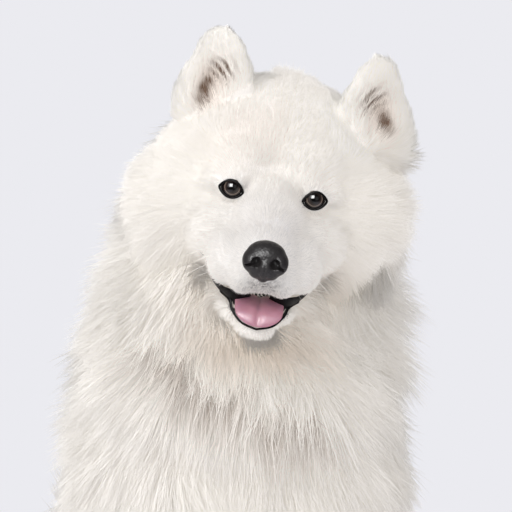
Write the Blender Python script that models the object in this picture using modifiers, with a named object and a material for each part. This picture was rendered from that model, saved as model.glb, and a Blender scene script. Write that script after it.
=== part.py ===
"""A life-size Samoyed dog that sits upright and turns its tilted head to its right.

The dog faces -Y, its left side is +X, and it rests on the floor at z = 0. Each furry
part is a core solid with flat, tapered locks of coat fused to it, and the parts are
cut clear of one another by a thin gap. All sizes are in metres.
"""

import math
import random
from dataclasses import dataclass, replace

import bmesh
import bpy
from mathutils import Matrix, Vector

MM = 0.001
GAP = 0.3 * MM  # clearance between parts that touch
WITHERS = 0.56  # height of the withers
CORE_SHARE = 0.4  # how far the solid core fills the coat, from skin to tips
SHARP = 9  # how many gaps a lock's sharp edges grow by, so that its flat sides clear one gap

# The head's place: midway between the eyes, then how the head is turned
EYE_MIDPOINT = Vector((-0.008, -0.195, 1.152 * WITHERS))
HEAD_TURN = math.radians(-18)
HEAD_NOD = math.radians(15)
HEAD_TILT = math.radians(8.5)

EYE_RADIUS = 10.8 * MM
EYE_APART = 70 * MM
EYE_SINK = 5 * MM

SIDES = (("left", 1), ("right", -1))


# Scene and mesh tools


def clear_scene():
    for obj in list(bpy.data.objects):
        bpy.data.objects.remove(obj, do_unlink=True)


def object_from(name, bm):
    """An object of the bmesh, with its faces turned outwards."""
    bmesh.ops.recalc_face_normals(bm, faces=bm.faces)
    mesh = bpy.data.meshes.new(name)
    bm.to_mesh(mesh)
    bm.free()
    obj = bpy.data.objects.new(name, mesh)
    bpy.context.scene.collection.objects.link(obj)
    return obj


def bake(obj):
    """Replaces the object's mesh with its evaluated one."""
    graph = bpy.context.evaluated_depsgraph_get()
    mesh = bpy.data.meshes.new_from_object(obj.evaluated_get(graph))
    obj.modifiers.clear()
    obj.data = mesh
    return obj


def remove(objects):
    for obj in objects:
        bpy.data.objects.remove(obj, do_unlink=True)


def boolean(target, operation, others, solver="MANIFOLD"):
    """Applies one Boolean with a collection of closed meshes, and removes them."""
    if not others:
        return target
    group = bpy.data.collections.new("operands")
    for obj in others:
        group.objects.link(obj)
    modifier = target.modifiers.new("Boolean", "BOOLEAN")
    modifier.operation = operation
    modifier.operand_type = "COLLECTION"
    modifier.collection = group
    modifier.solver = solver
    bake(target)
    remove(others)
    bpy.data.collections.remove(group)
    return target


def keep_largest(obj):
    """Drops every closed surface but the largest."""
    bm = bmesh.new()
    bm.from_mesh(obj.data)
    bmesh.ops.triangulate(bm, faces=bm.faces)
    left = set(bm.faces)
    surfaces = []
    while left:
        front = [left.pop()]
        surface = []
        while front:
            face = front.pop()
            surface.append(face)
            for edge in face.edges:
                for other in edge.link_faces:
                    if other in left:
                        left.remove(other)
                        front.append(other)
        volume = sum(a.co.dot(b.co.cross(c.co)) for a, b, c in (f.verts for f in surface))
        surfaces.append((abs(volume), len(surfaces), surface))
    surfaces.sort()
    for _, _, surface in surfaces[:-1]:
        bmesh.ops.delete(bm, geom=surface, context="FACES")
    bm.to_mesh(obj.data)
    bm.free()
    return obj


def blob(centre, halves, segments=20, rings=10, turn=None):
    """An ellipsoid with its half sizes along x, y and z."""
    bm = bmesh.new()
    bmesh.ops.create_uvsphere(bm, u_segments=segments, v_segments=rings, radius=1)
    matrix = Matrix.Diagonal((*halves, 1))
    if turn is not None:
        matrix = turn.to_4x4() @ matrix
    bmesh.ops.transform(bm, matrix=Matrix.Translation(centre) @ matrix, verts=bm.verts)
    return object_from("blob", bm)


def tube(points, radius, sides=1):
    """A closed tube along the points, from a curve with a round bevel."""
    curve = bpy.data.curves.new("tube", "CURVE")
    curve.dimensions = "3D"
    curve.bevel_depth = radius
    curve.bevel_resolution = sides
    curve.use_fill_caps = True
    spline = curve.splines.new("POLY")
    spline.points.add(len(points) - 1)
    for place, point in zip(spline.points, points):
        place.co = (*point, 1)
    obj = bpy.data.objects.new("tube", curve)
    bpy.context.scene.collection.objects.link(obj)
    graph = bpy.context.evaluated_depsgraph_get()
    mesh = bpy.data.meshes.new_from_object(obj.evaluated_get(graph))
    bm = bmesh.new()
    bm.from_mesh(mesh)
    bmesh.ops.remove_doubles(bm, verts=bm.verts, dist=0.01 * MM)
    remove([obj])
    return object_from("tube", bm)


def melt(pieces, voxel, rounds, triangles):
    """Fuses soft pieces into one smooth skin of about this many triangles."""
    base = pieces[0]
    boolean(base, "UNION", pieces[1:])
    remesh = base.modifiers.new("Remesh", "REMESH")
    remesh.mode = "VOXEL"
    remesh.voxel_size = voxel
    smooth = base.modifiers.new("Smooth", "SMOOTH")
    smooth.factor = 0.5
    smooth.iterations = rounds
    bake(base)
    base.data.calc_loop_triangles()
    decimate = base.modifiers.new("Decimate", "DECIMATE")
    decimate.ratio = min(1.0, triangles / len(base.data.loop_triangles))
    return bake(base)


def swell(obj, distance):
    """Moves a smooth mesh's surface outwards along its normals."""
    moved = [v.co + v.normal * distance for v in obj.data.vertices]
    for vertex, place in zip(obj.data.vertices, moved):
        vertex.co = place
    return obj


def copy_of(obj):
    twin = obj.copy()
    twin.data = obj.data.copy()
    bpy.context.scene.collection.objects.link(twin)
    return twin


# Forms: lofts of elliptical sections along a bent axis, each with a depth of coat


@dataclass
class Station:
    """One section, in millimetres: its centre, its half sizes at the skin, and the coat's depth."""

    x: float
    y: float
    z: float
    wide: float
    back: float
    front: float
    coat_back: float
    coat_front: float

    def row(self, side):
        centre = (self.x * side, self.y, self.z)
        sizes = (self.wide, self.back, self.front, self.coat_back, self.coat_front)
        return [value * MM for value in centre + sizes]


class Form:
    """A body part between its first and last station, closed by a dome at each end."""

    def __init__(self, stations, side=1, dome=0.2, sides=14, rings=8):
        self.rows = [station.row(side) for station in stations]
        self.dome = dome
        self.sides = sides
        self.rings = rings

    def values(self, share):
        """The stations' numbers at a share of the length, on a smooth curve."""
        last = len(self.rows) - 1
        place = min(max(share, 0.0), 1.0) * last
        index = min(int(place), last - 1)
        t = place - index
        around = [self.rows[min(max(index + k, 0), last)] for k in (-1, 0, 1, 2)]
        return [
            0.5
            * (
                2 * b
                + (c - a) * t
                + (2 * a - 5 * b + 4 * c - d) * t * t
                + (3 * b - a - 3 * c + d) * t**3
            )
            for a, b, c, d in zip(*around)
        ]

    def centre(self, share):
        return Vector(self.values(share)[:3])

    def tangent(self, share):
        step = 0.02
        low, high = max(share - step, 0), min(share + step, 1)
        return (self.centre(high) - self.centre(low)).normalized()

    def point(self, share, angle, fill, grow=0.0, domed=True):
        """A surface point: fill is 0 at the skin and 1 at the coat's tips."""
        _, _, _, wide, back, front, coat_back, coat_front = self.values(share)
        tangent = self.tangent(share)
        across = (Vector((1, 0, 0)) - tangent * tangent.x).normalized()
        rear = across.cross(tangent)
        c, s = math.cos(angle), math.sin(angle)
        coat = coat_front + (coat_back - coat_front) * (1 + s) / 2
        depth = back if s > 0 else front
        more = coat * fill + grow
        end = min(share, 1 - share) / self.dome
        closing = math.sqrt(max(0.0, 1 - (1 - end) ** 2)) if domed and end < 1 else 1.0
        offset = across * (wide + more) * c + rear * (depth + more) * s
        push = tangent * more * (2 * share - 1) ** 3
        return self.centre(share) + offset * closing + push

    def solid(self, fill, grow=0.0):
        bm = bmesh.new()
        rings = []
        for j in range(1, self.rings + 1):
            share = (1 - math.cos(math.pi * j / (self.rings + 1))) / 2
            angles = [2 * math.pi * (k + 0.5 * (j % 2)) / self.sides for k in range(self.sides)]
            rings.append([bm.verts.new(self.point(share, a, fill, grow)) for a in angles])
        poles = [bm.verts.new(self.point(end, 0, fill, grow)) for end in (0.0, 1.0)]
        for k in range(self.sides):
            n = (k + 1) % self.sides
            bm.faces.new((poles[0], rings[0][k], rings[0][n]))
            bm.faces.new((poles[1], rings[-1][n], rings[-1][k]))
        for j, (a, b) in enumerate(zip(rings, rings[1:])):
            for k in range(self.sides):
                n = (k + 1) % self.sides
                if j % 2:  # the next ring is half a step ahead
                    bm.faces.new((a[k], b[k], a[n]))
                    bm.faces.new((a[n], b[k], b[n]))
                else:
                    bm.faces.new((a[k], b[k], b[n]))
                    bm.faces.new((a[k], b[n], a[n]))
        return object_from("form", bm)

    def holds(self, point, fill):
        """Whether a point lies within the form at this fill of its coat."""
        steps = 14
        for step in range(1, steps):
            share = step / steps
            _, _, _, wide, back, front, coat_back, coat_front = self.values(share)
            tangent = self.tangent(share)
            across = (Vector((1, 0, 0)) - tangent * tangent.x).normalized()
            rear = across.cross(tangent)
            offset = point - self.centre(share)
            length = (self.centre(1) - self.centre(0)).length
            if abs(offset.dot(tangent)) > 0.6 * length / steps:
                continue
            coat = (coat_back + coat_front) / 2 * fill
            u, v = offset.dot(across), offset.dot(rear)
            depth = back if v > 0 else front
            if (u / (wide + coat)) ** 2 + (v / (depth + coat)) ** 2 < 1:
                return True
        return False

    def root(self, share, angle, fill):
        """A point on the core with the coat's direction down the form and the way out."""
        step = 0.02
        here = self.point(share, angle, fill)
        low, high = max(share - step, 0), min(share + step, 1)
        along = self.point(high, angle, fill, domed=False) - self.point(low, angle, fill, domed=False)
        around = self.point(share, angle + step, fill) - self.point(share, angle - step, fill)
        out = along.cross(around).normalized()
        if out.dot(here - self.centre(share)) < 0:
            out.negate()
        return here, along.normalized(), out


@dataclass
class Coat:
    """How locks grow on a form: rows of them between two shares of its length."""

    first: float
    last: float
    rows: int
    width: float
    length: float
    lift: float = 30
    settle: float = 12
    gravity: float = 0.35
    thick: float = 0.12
    cover: float = 1.0
    sector: tuple = (0, 360)
    seed: int = 1
    lowest: float = 0.012


def lock(root, along, out, length, width, thick, lift, settle, sink, grow):
    """One flat lock: it tapers to its tip and bends from its lift to the coat's lie."""
    across = along.cross(out).normalized()
    start = root - out * sink
    middle = root + (along * math.cos(lift) + out * math.sin(lift)) * length * 0.5
    tip = middle + (along * math.cos(settle) + out * math.sin(settle)) * length * 0.5
    bm = bmesh.new()
    rings = []
    for t, broad, deep in ((0.0, 0.9, 1.0), (0.45, 0.95, 1.0), (0.8, 0.5, 0.6)):
        centre = start * (1 - t) ** 2 + middle * 2 * t * (1 - t) + tip * t * t
        heading = ((middle - start) * (1 - t) + (tip - middle) * t).normalized()
        upward = across.cross(heading).normalized()
        half = across * (width * broad / 2 + grow * SHARP)
        centre = centre - upward * grow
        rise = upward * (thick * deep + grow * 2.2)
        corners = (centre - half, centre + rise, centre + half)
        rings.append([bm.verts.new(corner) for corner in corners])
    end = bm.verts.new(tip + (tip - middle).normalized() * grow * SHARP)
    bm.faces.new(rings[0])
    for a, b in zip(rings, rings[1:]):
        for k in range(3):
            n = (k + 1) % 3
            bm.faces.new((a[k], a[n], b[n], b[k]))
    for k in range(3):
        bm.faces.new((rings[-1][k], rings[-1][(k + 1) % 3], end))
    return object_from("lock", bm)


def mirrored(coats, side):
    """The same coats for the other side of the body, where side is -1."""
    if side > 0:
        return coats
    return [
        replace(coat, sector=(180 - coat.sector[1], 180 - coat.sector[0]), seed=coat.seed + 1)
        for coat in coats
    ]


def locks_on(form, coats, fill, grow, hidden, place=None):
    """The locks of a form's coats, in staggered rows, left out where they would be hidden."""
    made = []
    for coat in coats:
        draw = random.Random(coat.seed)
        low, high = (math.radians(a) for a in coat.sector)
        for row in range(coat.rows):
            share = coat.first + (coat.last - coat.first) * (row + 0.5) / coat.rows
            girth = sum(
                (form.point(share, low + (high - low) * (k + 1) / 24, fill)
                 - form.point(share, low + (high - low) * k / 24, fill)).length
                for k in range(24)
            )
            count = max(2, round(girth * coat.cover / coat.width))
            for k in range(count):
                step = (k + 0.5 * (row % 2) + draw.uniform(-0.12, 0.12)) / count
                angle = low + (high - low) * step
                at = share + draw.uniform(-0.16, 0.16) * (coat.last - coat.first) / coat.rows
                length = coat.length * draw.uniform(0.82, 1.12)
                width = coat.width * draw.uniform(0.85, 1.2)
                lift = math.radians(coat.lift * draw.uniform(0.75, 1.2))
                sway = draw.uniform(-0.16, 0.16)
                root, along, out = form.root(at, angle, fill)
                if place is not None:
                    root = place @ root
                    along = place.to_3x3() @ along
                    out = place.to_3x3() @ out
                along = along + Vector((0, 0, -coat.gravity))
                along = along + along.cross(out).normalized() * sway
                along = (along - out * along.dot(out)).normalized()
                middle = root + out * length * 0.2 + along * length * 0.5
                low_end = root.z + along.z * length + out.z * length * 0.3
                if hidden(middle) or low_end < coat.lowest:
                    continue
                made.append(
                    lock(
                        root,
                        along,
                        out,
                        length,
                        width,
                        width * coat.thick,
                        lift,
                        math.radians(coat.settle),
                        sink=9 * MM,
                        grow=grow,
                    )
                )
    return made


# The body's forms, from the neck to the tail. Each station reads
# x, y, z, half width, depth to the back, depth to the front, coat at the back and front.

NECK = Form(
    [
        Station(24, -88, 668, 62, 55, 32, 45, 24),
        Station(20, -84, 615, 74, 68, 44, 55, 34),
        Station(11, -78, 560, 86, 84, 60, 60, 44),
        Station(4, -70, 503, 97, 92, 82, 58, 60),
        Station(0, -60, 455, 90, 90, 87, 50, 62),
    ]
)
CHEST = Form(
    [
        Station(8, -70, 525, 75, 70, 70, 30, 30),
        Station(9, -62, 475, 104, 94, 98, 45, 50),
        Station(8, -42, 415, 118, 118, 118, 50, 60),
        Station(3, -5, 350, 120, 122, 128, 50, 55),
        Station(0, 38, 290, 116, 120, 118, 45, 40),
        Station(0, 75, 240, 100, 100, 90, 30, 30),
    ],
    rings=9,
)
RUMP = Form(
    [
        Station(0, 50, 320, 95, 90, 85, 30, 20),
        Station(0, 90, 265, 108, 110, 95, 42, 25),
        Station(0, 130, 210, 112, 112, 95, 48, 25),
        Station(0, 168, 150, 115, 112, 95, 48, 25),
        Station(0, 200, 85, 112, 98, 90, 45, 25),
        Station(0, 212, 5, 84, 72, 74, 30, 20),
    ],
    rings=9,
)
TAIL = [
    Station(0, 265, 120, 22, 22, 22, 20, 30),
    Station(0, 335, 160, 22, 22, 22, 25, 50),
    Station(4, 362, 240, 21, 21, 21, 25, 60),
    Station(14, 335, 318, 20, 20, 20, 25, 65),
    Station(34, 270, 368, 18, 18, 18, 30, 60),
    Station(62, 198, 385, 14, 14, 14, 30, 50),
]
TAIL_ROOT = Form(TAIL[:4], dome=0.12, sides=10, rings=7)
TAIL_TIP = Form(TAIL[2:], dome=0.12, sides=10, rings=7)


def thigh(side):
    """A folded thigh, from the hip at the back to the knee in front."""
    return Form(
        [
            Station(88, 262, 120, 40, 75, 60, 30, 40),
            Station(108, 200, 135, 52, 92, 85, 30, 40),
            Station(124, 125, 138, 56, 95, 90, 30, 35),
            Station(134, 55, 132, 50, 80, 78, 30, 30),
            Station(136, 5, 122, 38, 58, 58, 30, 28),
        ],
        side,
        dome=0.28,
    )


def hind_foot(side):
    """The hind foot from its hock to the toes, flat on the floor."""
    return Form(
        [
            Station(128, 150, 40, 24, 34, 26, 10, 8),
            Station(131, 80, 30, 24, 26, 20, 8, 7),
            Station(135, 10, 27, 27, 26, 18, 7, 7),
            Station(138, -45, 24, 31, 24, 17, 6, 6),
        ],
        side,
        sides=12,
        rings=6,
    )


def foreleg(side):
    """A foreleg from the upper arm, hidden in the chest, to the pastern."""
    return Form(
        [
            Station(88, -62, 345, 48, 55, 50, 30, 20),
            Station(86, -70, 275, 40, 50, 42, 35, 15),
            Station(81, -84, 200, 30, 36, 30, 28, 8),
            Station(77, -95, 130, 25, 28, 25, 22, 6),
            Station(74, -100, 75, 25, 26, 24, 10, 4),
            Station(73, -104, 36, 25, 26, 24, 4, 3),
        ],
        side,
        sides=12,
        dome=0.12,
    )


# The head, in its own frame: x to its left, y back and z up from midway between the eyes

HEAD = (
    Matrix.Translation(EYE_MIDPOINT)
    @ Matrix.Rotation(HEAD_TURN, 4, "Z")
    @ Matrix.Rotation(HEAD_NOD, 4, "X")
    @ Matrix.Rotation(HEAD_TILT, 4, "Y")
)


def at(left, forward, up):
    """A place on the head, in millimetres to its left, forward of the eyes and above them."""
    return Vector((left, -forward, up)) * MM


def soft(left, forward, up, wide, long, high, segments=20):
    """One ellipsoid of the head, or a pair of them where it stands off the middle."""
    sides = (-1, 1) if left else (1,)
    halves = Vector((wide, long, high)) * MM
    return [blob(at(left * side, forward, up), halves, segments, segments // 2) for side in sides]


def smooth_path(points, steps):
    """Points on a smooth curve through these, with some steps between each two."""
    made = []
    last = len(points) - 1
    for index in range(last):
        a, b, c, d = (points[min(max(index + k, 0), last)] for k in (-1, 0, 1, 2))
        for step in range(steps):
            t = step / steps
            made.append(
                (
                    b * 2
                    + (c - a) * t
                    + (a * 2 - b * 5 + c * 4 - d) * t * t
                    + (b * 3 - a - c * 3 + d) * t**3
                )
                * 0.5
            )
    return made + [points[last]]


def lip(half, radius):
    """A lip: a tube along half of the mouth's edge and its mirror image."""
    right = [Vector((-p.x, p.y, p.z)) for p in reversed(half[:-1])]
    return tube(smooth_path(list(half) + right, 2), radius)


UPPER_LIP = (at(47, 13, -60), at(41, 32, -66), at(28, 57, -68), at(14, 74, -63), at(0, 82, -58))
LOWER_LIP = (at(45, 12, -69), at(37, 34, -79), at(27, 54, -88), at(14, 69, -94), at(0, 74, -95))

# Where the cheeks' ruff grows, from behind the eyes to the back of the skull
CHEEK_RUFF = Form(
    [
        Station(0, 8, -8, 72, 76, 80, 20, 20),
        Station(0, 30, -6, 101, 86, 96, 40, 40),
        Station(0, 66, -4, 115, 90, 104, 55, 50),
        Station(0, 105, -4, 104, 80, 92, 55, 50),
        Station(0, 140, -5, 60, 50, 60, 50, 50),
    ]
)
TONGUE = Form(
    [
        Station(0, -8, -68, 15, 4, 4, 0, 0),
        Station(0, -36, -73, 19, 4, 4, 0, 0),
        Station(0, -58, -80, 20, 4, 4, 0, 0),
        Station(0, -72, -89, 18, 4, 4, 0, 0),
        Station(0, -79, -98, 14, 4, 3, 0, 0),
    ],
    sides=12,
    rings=6,
)


def eye(side, grow=0.0):
    radius = EYE_RADIUS + grow
    centre = Vector((side * EYE_APART / 2, EYE_SINK, 0))
    return blob(centre, (radius, radius, radius), 14, 8)


def lid(side, grow=0.0):
    """The rim of the lids, an almond ring round the eyeball."""
    bpy.ops.mesh.primitive_torus_add(
        major_radius=9.8 * MM, minor_radius=1.5 * MM + grow, major_segments=14, minor_segments=4
    )
    ring = bpy.context.object
    gaze = Matrix.Rotation(side * math.radians(12), 4, "Z")
    facing = Matrix.Rotation(math.radians(90), 4, "X")
    almond = Matrix.Diagonal((1.1, 0.84, 1, 1))
    centre = Matrix.Translation((side * EYE_APART / 2, EYE_SINK - 5.6 * MM, 0))
    ring.data.transform(centre @ gaze @ facing @ almond)
    return ring


def nose(grow=0.0):
    """The nose leather: a rounded block with a wing round each nostril."""
    pieces = soft(0, 89, -29, 17, 15, 13)
    pieces += soft(10, 91, -34, 9.5, 11, 9)
    pieces += soft(0, 90, -42, 8, 9, 9)
    leather = melt(pieces, 1.8 * MM, 2, 300)
    if grow:
        return swell(leather, 2 * grow)
    nostrils = soft(9, 102, -34, 4, 9, 3.6, 8)
    nostrils += soft(14, 99, -37, 5, 7, 2, 8)
    return boolean(leather, "DIFFERENCE", nostrils)


def jaw(grow=0.0):
    """The lower jaw, dropped open, with its lip."""
    pieces = soft(0, -2, -90, 37, 46, 19)
    pieces += soft(0, 36, -95, 26, 36, 14)
    pieces += soft(0, 58, -99, 16, 18, 10)
    flesh = melt(pieces, 3 * MM, 3, 280)
    if grow:
        swell(flesh, 2 * grow)
    return boolean(flesh, "UNION", [lip(LOWER_LIP, 2.6 * MM + grow)])


def ear(side, grow=0.0):
    """An ear: a thick, rounded triangle with a cup in its front."""
    shell = Form(
        [
            Station(5, 0, 66, 8, 7, 6, 0, 0),
            Station(5, -1, 56, 19, 9, 8, 0, 0),
            Station(3, 0, 40, 28, 13, 10, 0, 0),
            Station(-1, 2, 20, 36, 17, 13, 0, 0),
            Station(-3, 3, -8, 40, 20, 16, 0, 0),
            Station(-8, 5, -30, 32, 18, 14, 0, 0),
        ],
        side,
        dome=0.12,
        rings=8,
    ).solid(0, grow)
    if not grow:
        cup = Form(
            [
                Station(4, -14, 50, 6, 8, 6, 0, 0),
                Station(3, -14, 38, 14, 12, 8, 0, 0),
                Station(1, -15, 20, 20, 15, 10, 0, 0),
                Station(-1, -17, 0, 18, 13, 10, 0, 0),
                Station(-1, -18, -14, 10, 8, 6, 0, 0),
            ],
            side,
            sides=12,
            rings=6,
        ).solid(0)
        boolean(shell, "DIFFERENCE", [cup])
    splay = math.radians(9 if side > 0 else -11)
    turn = Matrix.Rotation(side * math.radians(14), 4, "Z") @ Matrix.Rotation(side * splay, 4, "Y")
    shell.data.transform(Matrix.Translation(at(side * 70, -60, 56 if side > 0 else 60)) @ turn)
    return shell


def skull(grow=0.0):
    """The skull with the upper muzzle, in short fur, and the rims of its lips and lids."""
    pieces = soft(0, -80, 2, 106, 80, 92)
    pieces += soft(54, -62, -30, 58, 54, 62)
    pieces += soft(24, -32, 20, 32, 29, 24)
    pieces += soft(0, 4, -18, 31, 46, 26)
    pieces += soft(0, 44, -32, 25, 38, 21)
    pieces += soft(28, 22, -46, 22, 42, 22)
    pieces += soft(36, -10, -42, 30, 34, 32)
    pieces += soft(15, 56, -48, 17, 27, 20)
    pieces += soft(0, 68, -38, 20, 20, 20)
    pieces += soft(0, -70, -60, 60, 50, 50)
    flesh = melt(pieces, 4 * MM, 6, 1150)
    if grow:
        swell(flesh, 2 * grow)
    else:
        hollows = soft(0, 38, -74, 20, 50, 15)
        hollows += soft(EYE_APART / 2 / MM, 10, 0, 9.6, 18, 7.4)
        boolean(flesh, "DIFFERENCE", hollows)
    rims = [lip(UPPER_LIP, 2.6 * MM + grow), lid(1, grow), lid(-1, grow)]
    return boolean(flesh, "UNION", rims)


def never(point):
    return False


def inside(*covers):
    """A test of whether a point lies in the head or in any of these forms, each at its own fill."""
    to_head = HEAD.inverted()

    def test(point):
        if CHEEK_RUFF.holds(to_head @ point, 0):
            return True
        return any(form.holds(point, fill) for form, fill in covers)

    return test


def head(grow=0.0):
    flesh = skull(grow)
    flesh.data.transform(HEAD)
    coats = [
        Coat(0.08, 0.66, 3, 0.050, 0.078, lift=20, settle=12, sector=(-68, 8), seed=3, gravity=1.3),
    ]
    coats += mirrored(coats, -1)
    return boolean(flesh, "UNION", locks_on(CHEEK_RUFF, coats, 0, grow, never, HEAD))


def in_head_frame(build):
    def placed(grow=0.0):
        obj = build(grow)
        obj.data.transform(HEAD)
        return obj

    return placed


# The furry parts


def furry(form, coats, hidden=never):
    """A builder of a form's core with its locks."""

    def build(grow=0.0):
        core = form.solid(CORE_SHARE, grow)
        return boolean(core, "UNION", locks_on(form, coats, CORE_SHARE, grow, hidden))

    return build


def toes(centre, spread, reach, size):
    """Four toes in an arc, seen from the paw's centre."""
    made = []
    for index in range(4):
        across = (index - 1.5) / 1.5
        place = centre + Vector((across * spread, -reach * (1 - 0.35 * across * across), 0))
        made.append(blob(place, Vector(size) * MM, 12, 8))
    return made


def claws(centre, spread, reach):
    made = []
    for index in range(4):
        across = (index - 1.5) / 1.5
        bm = bmesh.new()
        bmesh.ops.create_cone(
            bm, cap_ends=True, segments=6, radius1=3.2 * MM, radius2=0.8 * MM, depth=16 * MM
        )
        place = centre + Vector((across * spread, -reach * (1 - 0.35 * across * across), 0))
        turn = Matrix.Rotation(math.radians(112), 4, "X")
        bmesh.ops.transform(bm, matrix=Matrix.Translation(place) @ turn, verts=bm.verts)
        made.append(object_from("claw", bm))
    return made


def forepaw(side):
    def build(grow=0.0):
        centre = Vector((side * 73, -118, 20)) * MM
        pieces = [blob(centre, Vector((31, 36, 25)) * MM)]
        pieces += [blob(centre + Vector((0, 14, 16)) * MM, Vector((29, 30, 32)) * MM)]
        pieces += toes(centre - Vector((0, 0, 3)) * MM, 23 * MM, 32 * MM, (11, 17, 17))
        flesh = melt(pieces, 3 * MM, 2, 290)
        if grow:
            return swell(flesh, 2 * grow)
        return boolean(flesh, "UNION", claws(centre - Vector((0, 0, 8)) * MM, 22 * MM, 49 * MM))

    return build


def hindpaw(side):
    def build(grow=0.0):
        form = hind_foot(side)
        centre = Vector((side * 137, -30, 18)) * MM
        pieces = [form.solid(0.8)]
        pieces += [blob(centre, Vector((31, 34, 22)) * MM)]
        pieces += toes(centre - Vector((0, 0, 2)) * MM, 22 * MM, 30 * MM, (11, 17, 15))
        flesh = melt(pieces, 3 * MM, 2, 360)
        if grow:
            return swell(flesh, 2 * grow)
        return boolean(flesh, "UNION", claws(centre - Vector((0, 0, 8)) * MM, 21 * MM, 47 * MM))

    return build


NECK_COATS = [
    Coat(0.12, 0.98, 4, 0.069, 0.107, lift=25, settle=10, cover=0.82, seed=11),
]
CHEST_COATS = [
    Coat(0.22, 1.0, 4, 0.072, 0.108, lift=22, settle=8, cover=0.8, seed=21),
]
RUMP_COATS = [
    Coat(0.16, 0.86, 3, 0.068, 0.100, lift=24, cover=0.9, sector=(-10, 190), seed=31),
]
THIGH_COATS = [
    Coat(0.04, 0.86, 4, 0.056, 0.080, lift=24, gravity=1.6, sector=(-35, 100), seed=41, lowest=0.03),
]
FORELEG_COATS = [
    Coat(0.32, 0.84, 3, 0.046, 0.080, lift=22, settle=6, cover=0.9, sector=(30, 150), seed=51),
]
TAIL_ROOT_COATS = [
    Coat(0.1, 0.98, 4, 0.048, 0.120, lift=32, settle=10, gravity=0.3, sector=(130, 410), seed=61),
]
TAIL_TIP_COATS = [
    Coat(0.36, 0.99, 3, 0.044, 0.120, lift=32, settle=10, gravity=0.3, sector=(130, 410), seed=62),
]


def builders():
    """Every node's builder, in the order in which they give way: each is cut clear of those before."""
    made = {}
    for word, side in SIDES:
        made[f"eye_{word}"] = in_head_frame(lambda grow=0.0, side=side: eye(side, grow))
    made["nose"] = in_head_frame(nose)
    made["tongue"] = in_head_frame(lambda grow=0.0: TONGUE.solid(0, grow))
    made["lower_jaw"] = in_head_frame(jaw)
    for word, side in SIDES:
        made[f"ear_{word}"] = in_head_frame(lambda grow=0.0, side=side: ear(side, grow))
    made["head"] = head
    made["neck"] = furry(NECK, NECK_COATS, inside((CHEST, 0.1)))
    made["tail_root"] = furry(TAIL_ROOT, TAIL_ROOT_COATS, inside((RUMP, 0.3)))
    made["tail_tip"] = furry(TAIL_TIP, TAIL_TIP_COATS, inside((TAIL_ROOT, 0.3)))
    made["chest"] = furry(CHEST, CHEST_COATS, inside((NECK, 0.3), (RUMP, 0.2)))
    for word, side in SIDES:
        made[f"foreleg_{word}"] = furry(foreleg(side), FORELEG_COATS, inside((CHEST, 0.5)))
    made["rump"] = furry(RUMP, RUMP_COATS, inside((CHEST, 0.8), (thigh(1), 0.5), (thigh(-1), 0.5)))
    for word, side in SIDES:
        made[f"thigh_{word}"] = furry(thigh(side), mirrored(THIGH_COATS, side), inside((RUMP, 0.4)))
    for word, side in SIDES:
        made[f"forepaw_{word}"] = forepaw(side)
        made[f"hind_foot_{word}"] = hindpaw(side)
    return made


# Assembly


def material(name, colour, roughness, metallic=0.0):
    made = bpy.data.materials.new(name)
    made.use_nodes = True
    shader = made.node_tree.nodes["Principled BSDF"]
    shader.inputs["Base Color"].default_value = (*colour, 1)
    shader.inputs["Roughness"].default_value = roughness
    shader.inputs["Metallic"].default_value = metallic
    return made


def box_of(obj):
    corners = [v.co for v in obj.data.vertices]
    low = Vector(min(c[k] for c in corners) for k in range(3))
    high = Vector(max(c[k] for c in corners) for k in range(3))
    return low, high


def boxes_meet(a, b):
    return all(a[0][k] <= b[1][k] and b[0][k] <= a[1][k] for k in range(3))


def floor_cutter():
    """A block whose top is the floor, wider than the dog."""
    bm = bmesh.new()
    bmesh.ops.create_cube(bm, size=2)
    bmesh.ops.translate(bm, vec=Vector((0, 0, -1)), verts=bm.verts)
    return object_from("floor", bm)


def assemble():
    coat = material("white_coat", (0.86, 0.84, 0.80), 0.9)
    leather = material("nose_leather", (0.028, 0.026, 0.028), 0.4)
    flesh = material("tongue_flesh", (0.62, 0.25, 0.31), 0.35)
    iris = material("eye", (0.03, 0.02, 0.015), 0.05)
    special = {"nose": leather, "tongue": flesh, "eye_left": iris, "eye_right": iris}
    model = bpy.data.collections.new("samoyed")
    bpy.context.scene.collection.children.link(model)
    grown = []
    nodes = []
    for name, build in builders().items():
        obj = build()
        box = box_of(obj)
        walls = [copy_of(other) for other, limits in grown if boxes_meet(box, limits)]
        if box[0].z <= 0:
            walls.append(floor_cutter())
        boolean(obj, "DIFFERENCE", walls)
        keep_largest(obj)
        obj.name = name
        obj.data.name = name
        obj.data.materials.clear()
        obj.data.materials.append(special.get(name, coat))
        nodes.append(obj)
        twin = build(GAP)
        grown.append((twin, box_of(twin)))
    remove([twin for twin, _ in grown])
    boxes = [box_of(obj) for obj in nodes]
    middle = [
        (min(low[k] for low, _ in boxes) + max(high[k] for _, high in boxes)) / 2 for k in (0, 1)
    ]
    for obj in nodes:
        obj.location = (-middle[0], -middle[1], 0)
        bpy.context.scene.collection.objects.unlink(obj)
        model.objects.link(obj)


clear_scene()
assemble()
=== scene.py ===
"""A life-size samoyed that sits upright, turned a little aside, and laughs at the camera.

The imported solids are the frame. One skin takes the place of the flesh, and the eyes,
nose, lips, tongue, claws and the coat are built on it, from the skin out. Sizes are in
metres, and a number of millimetres is written times MM. On the head, places are given
as millimetres to the dog's left, forward of the eyes and above them.
"""

import math

import bmesh
import bpy
import numpy as np
from mathutils import Matrix, Vector
from mathutils.kdtree import KDTree


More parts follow.
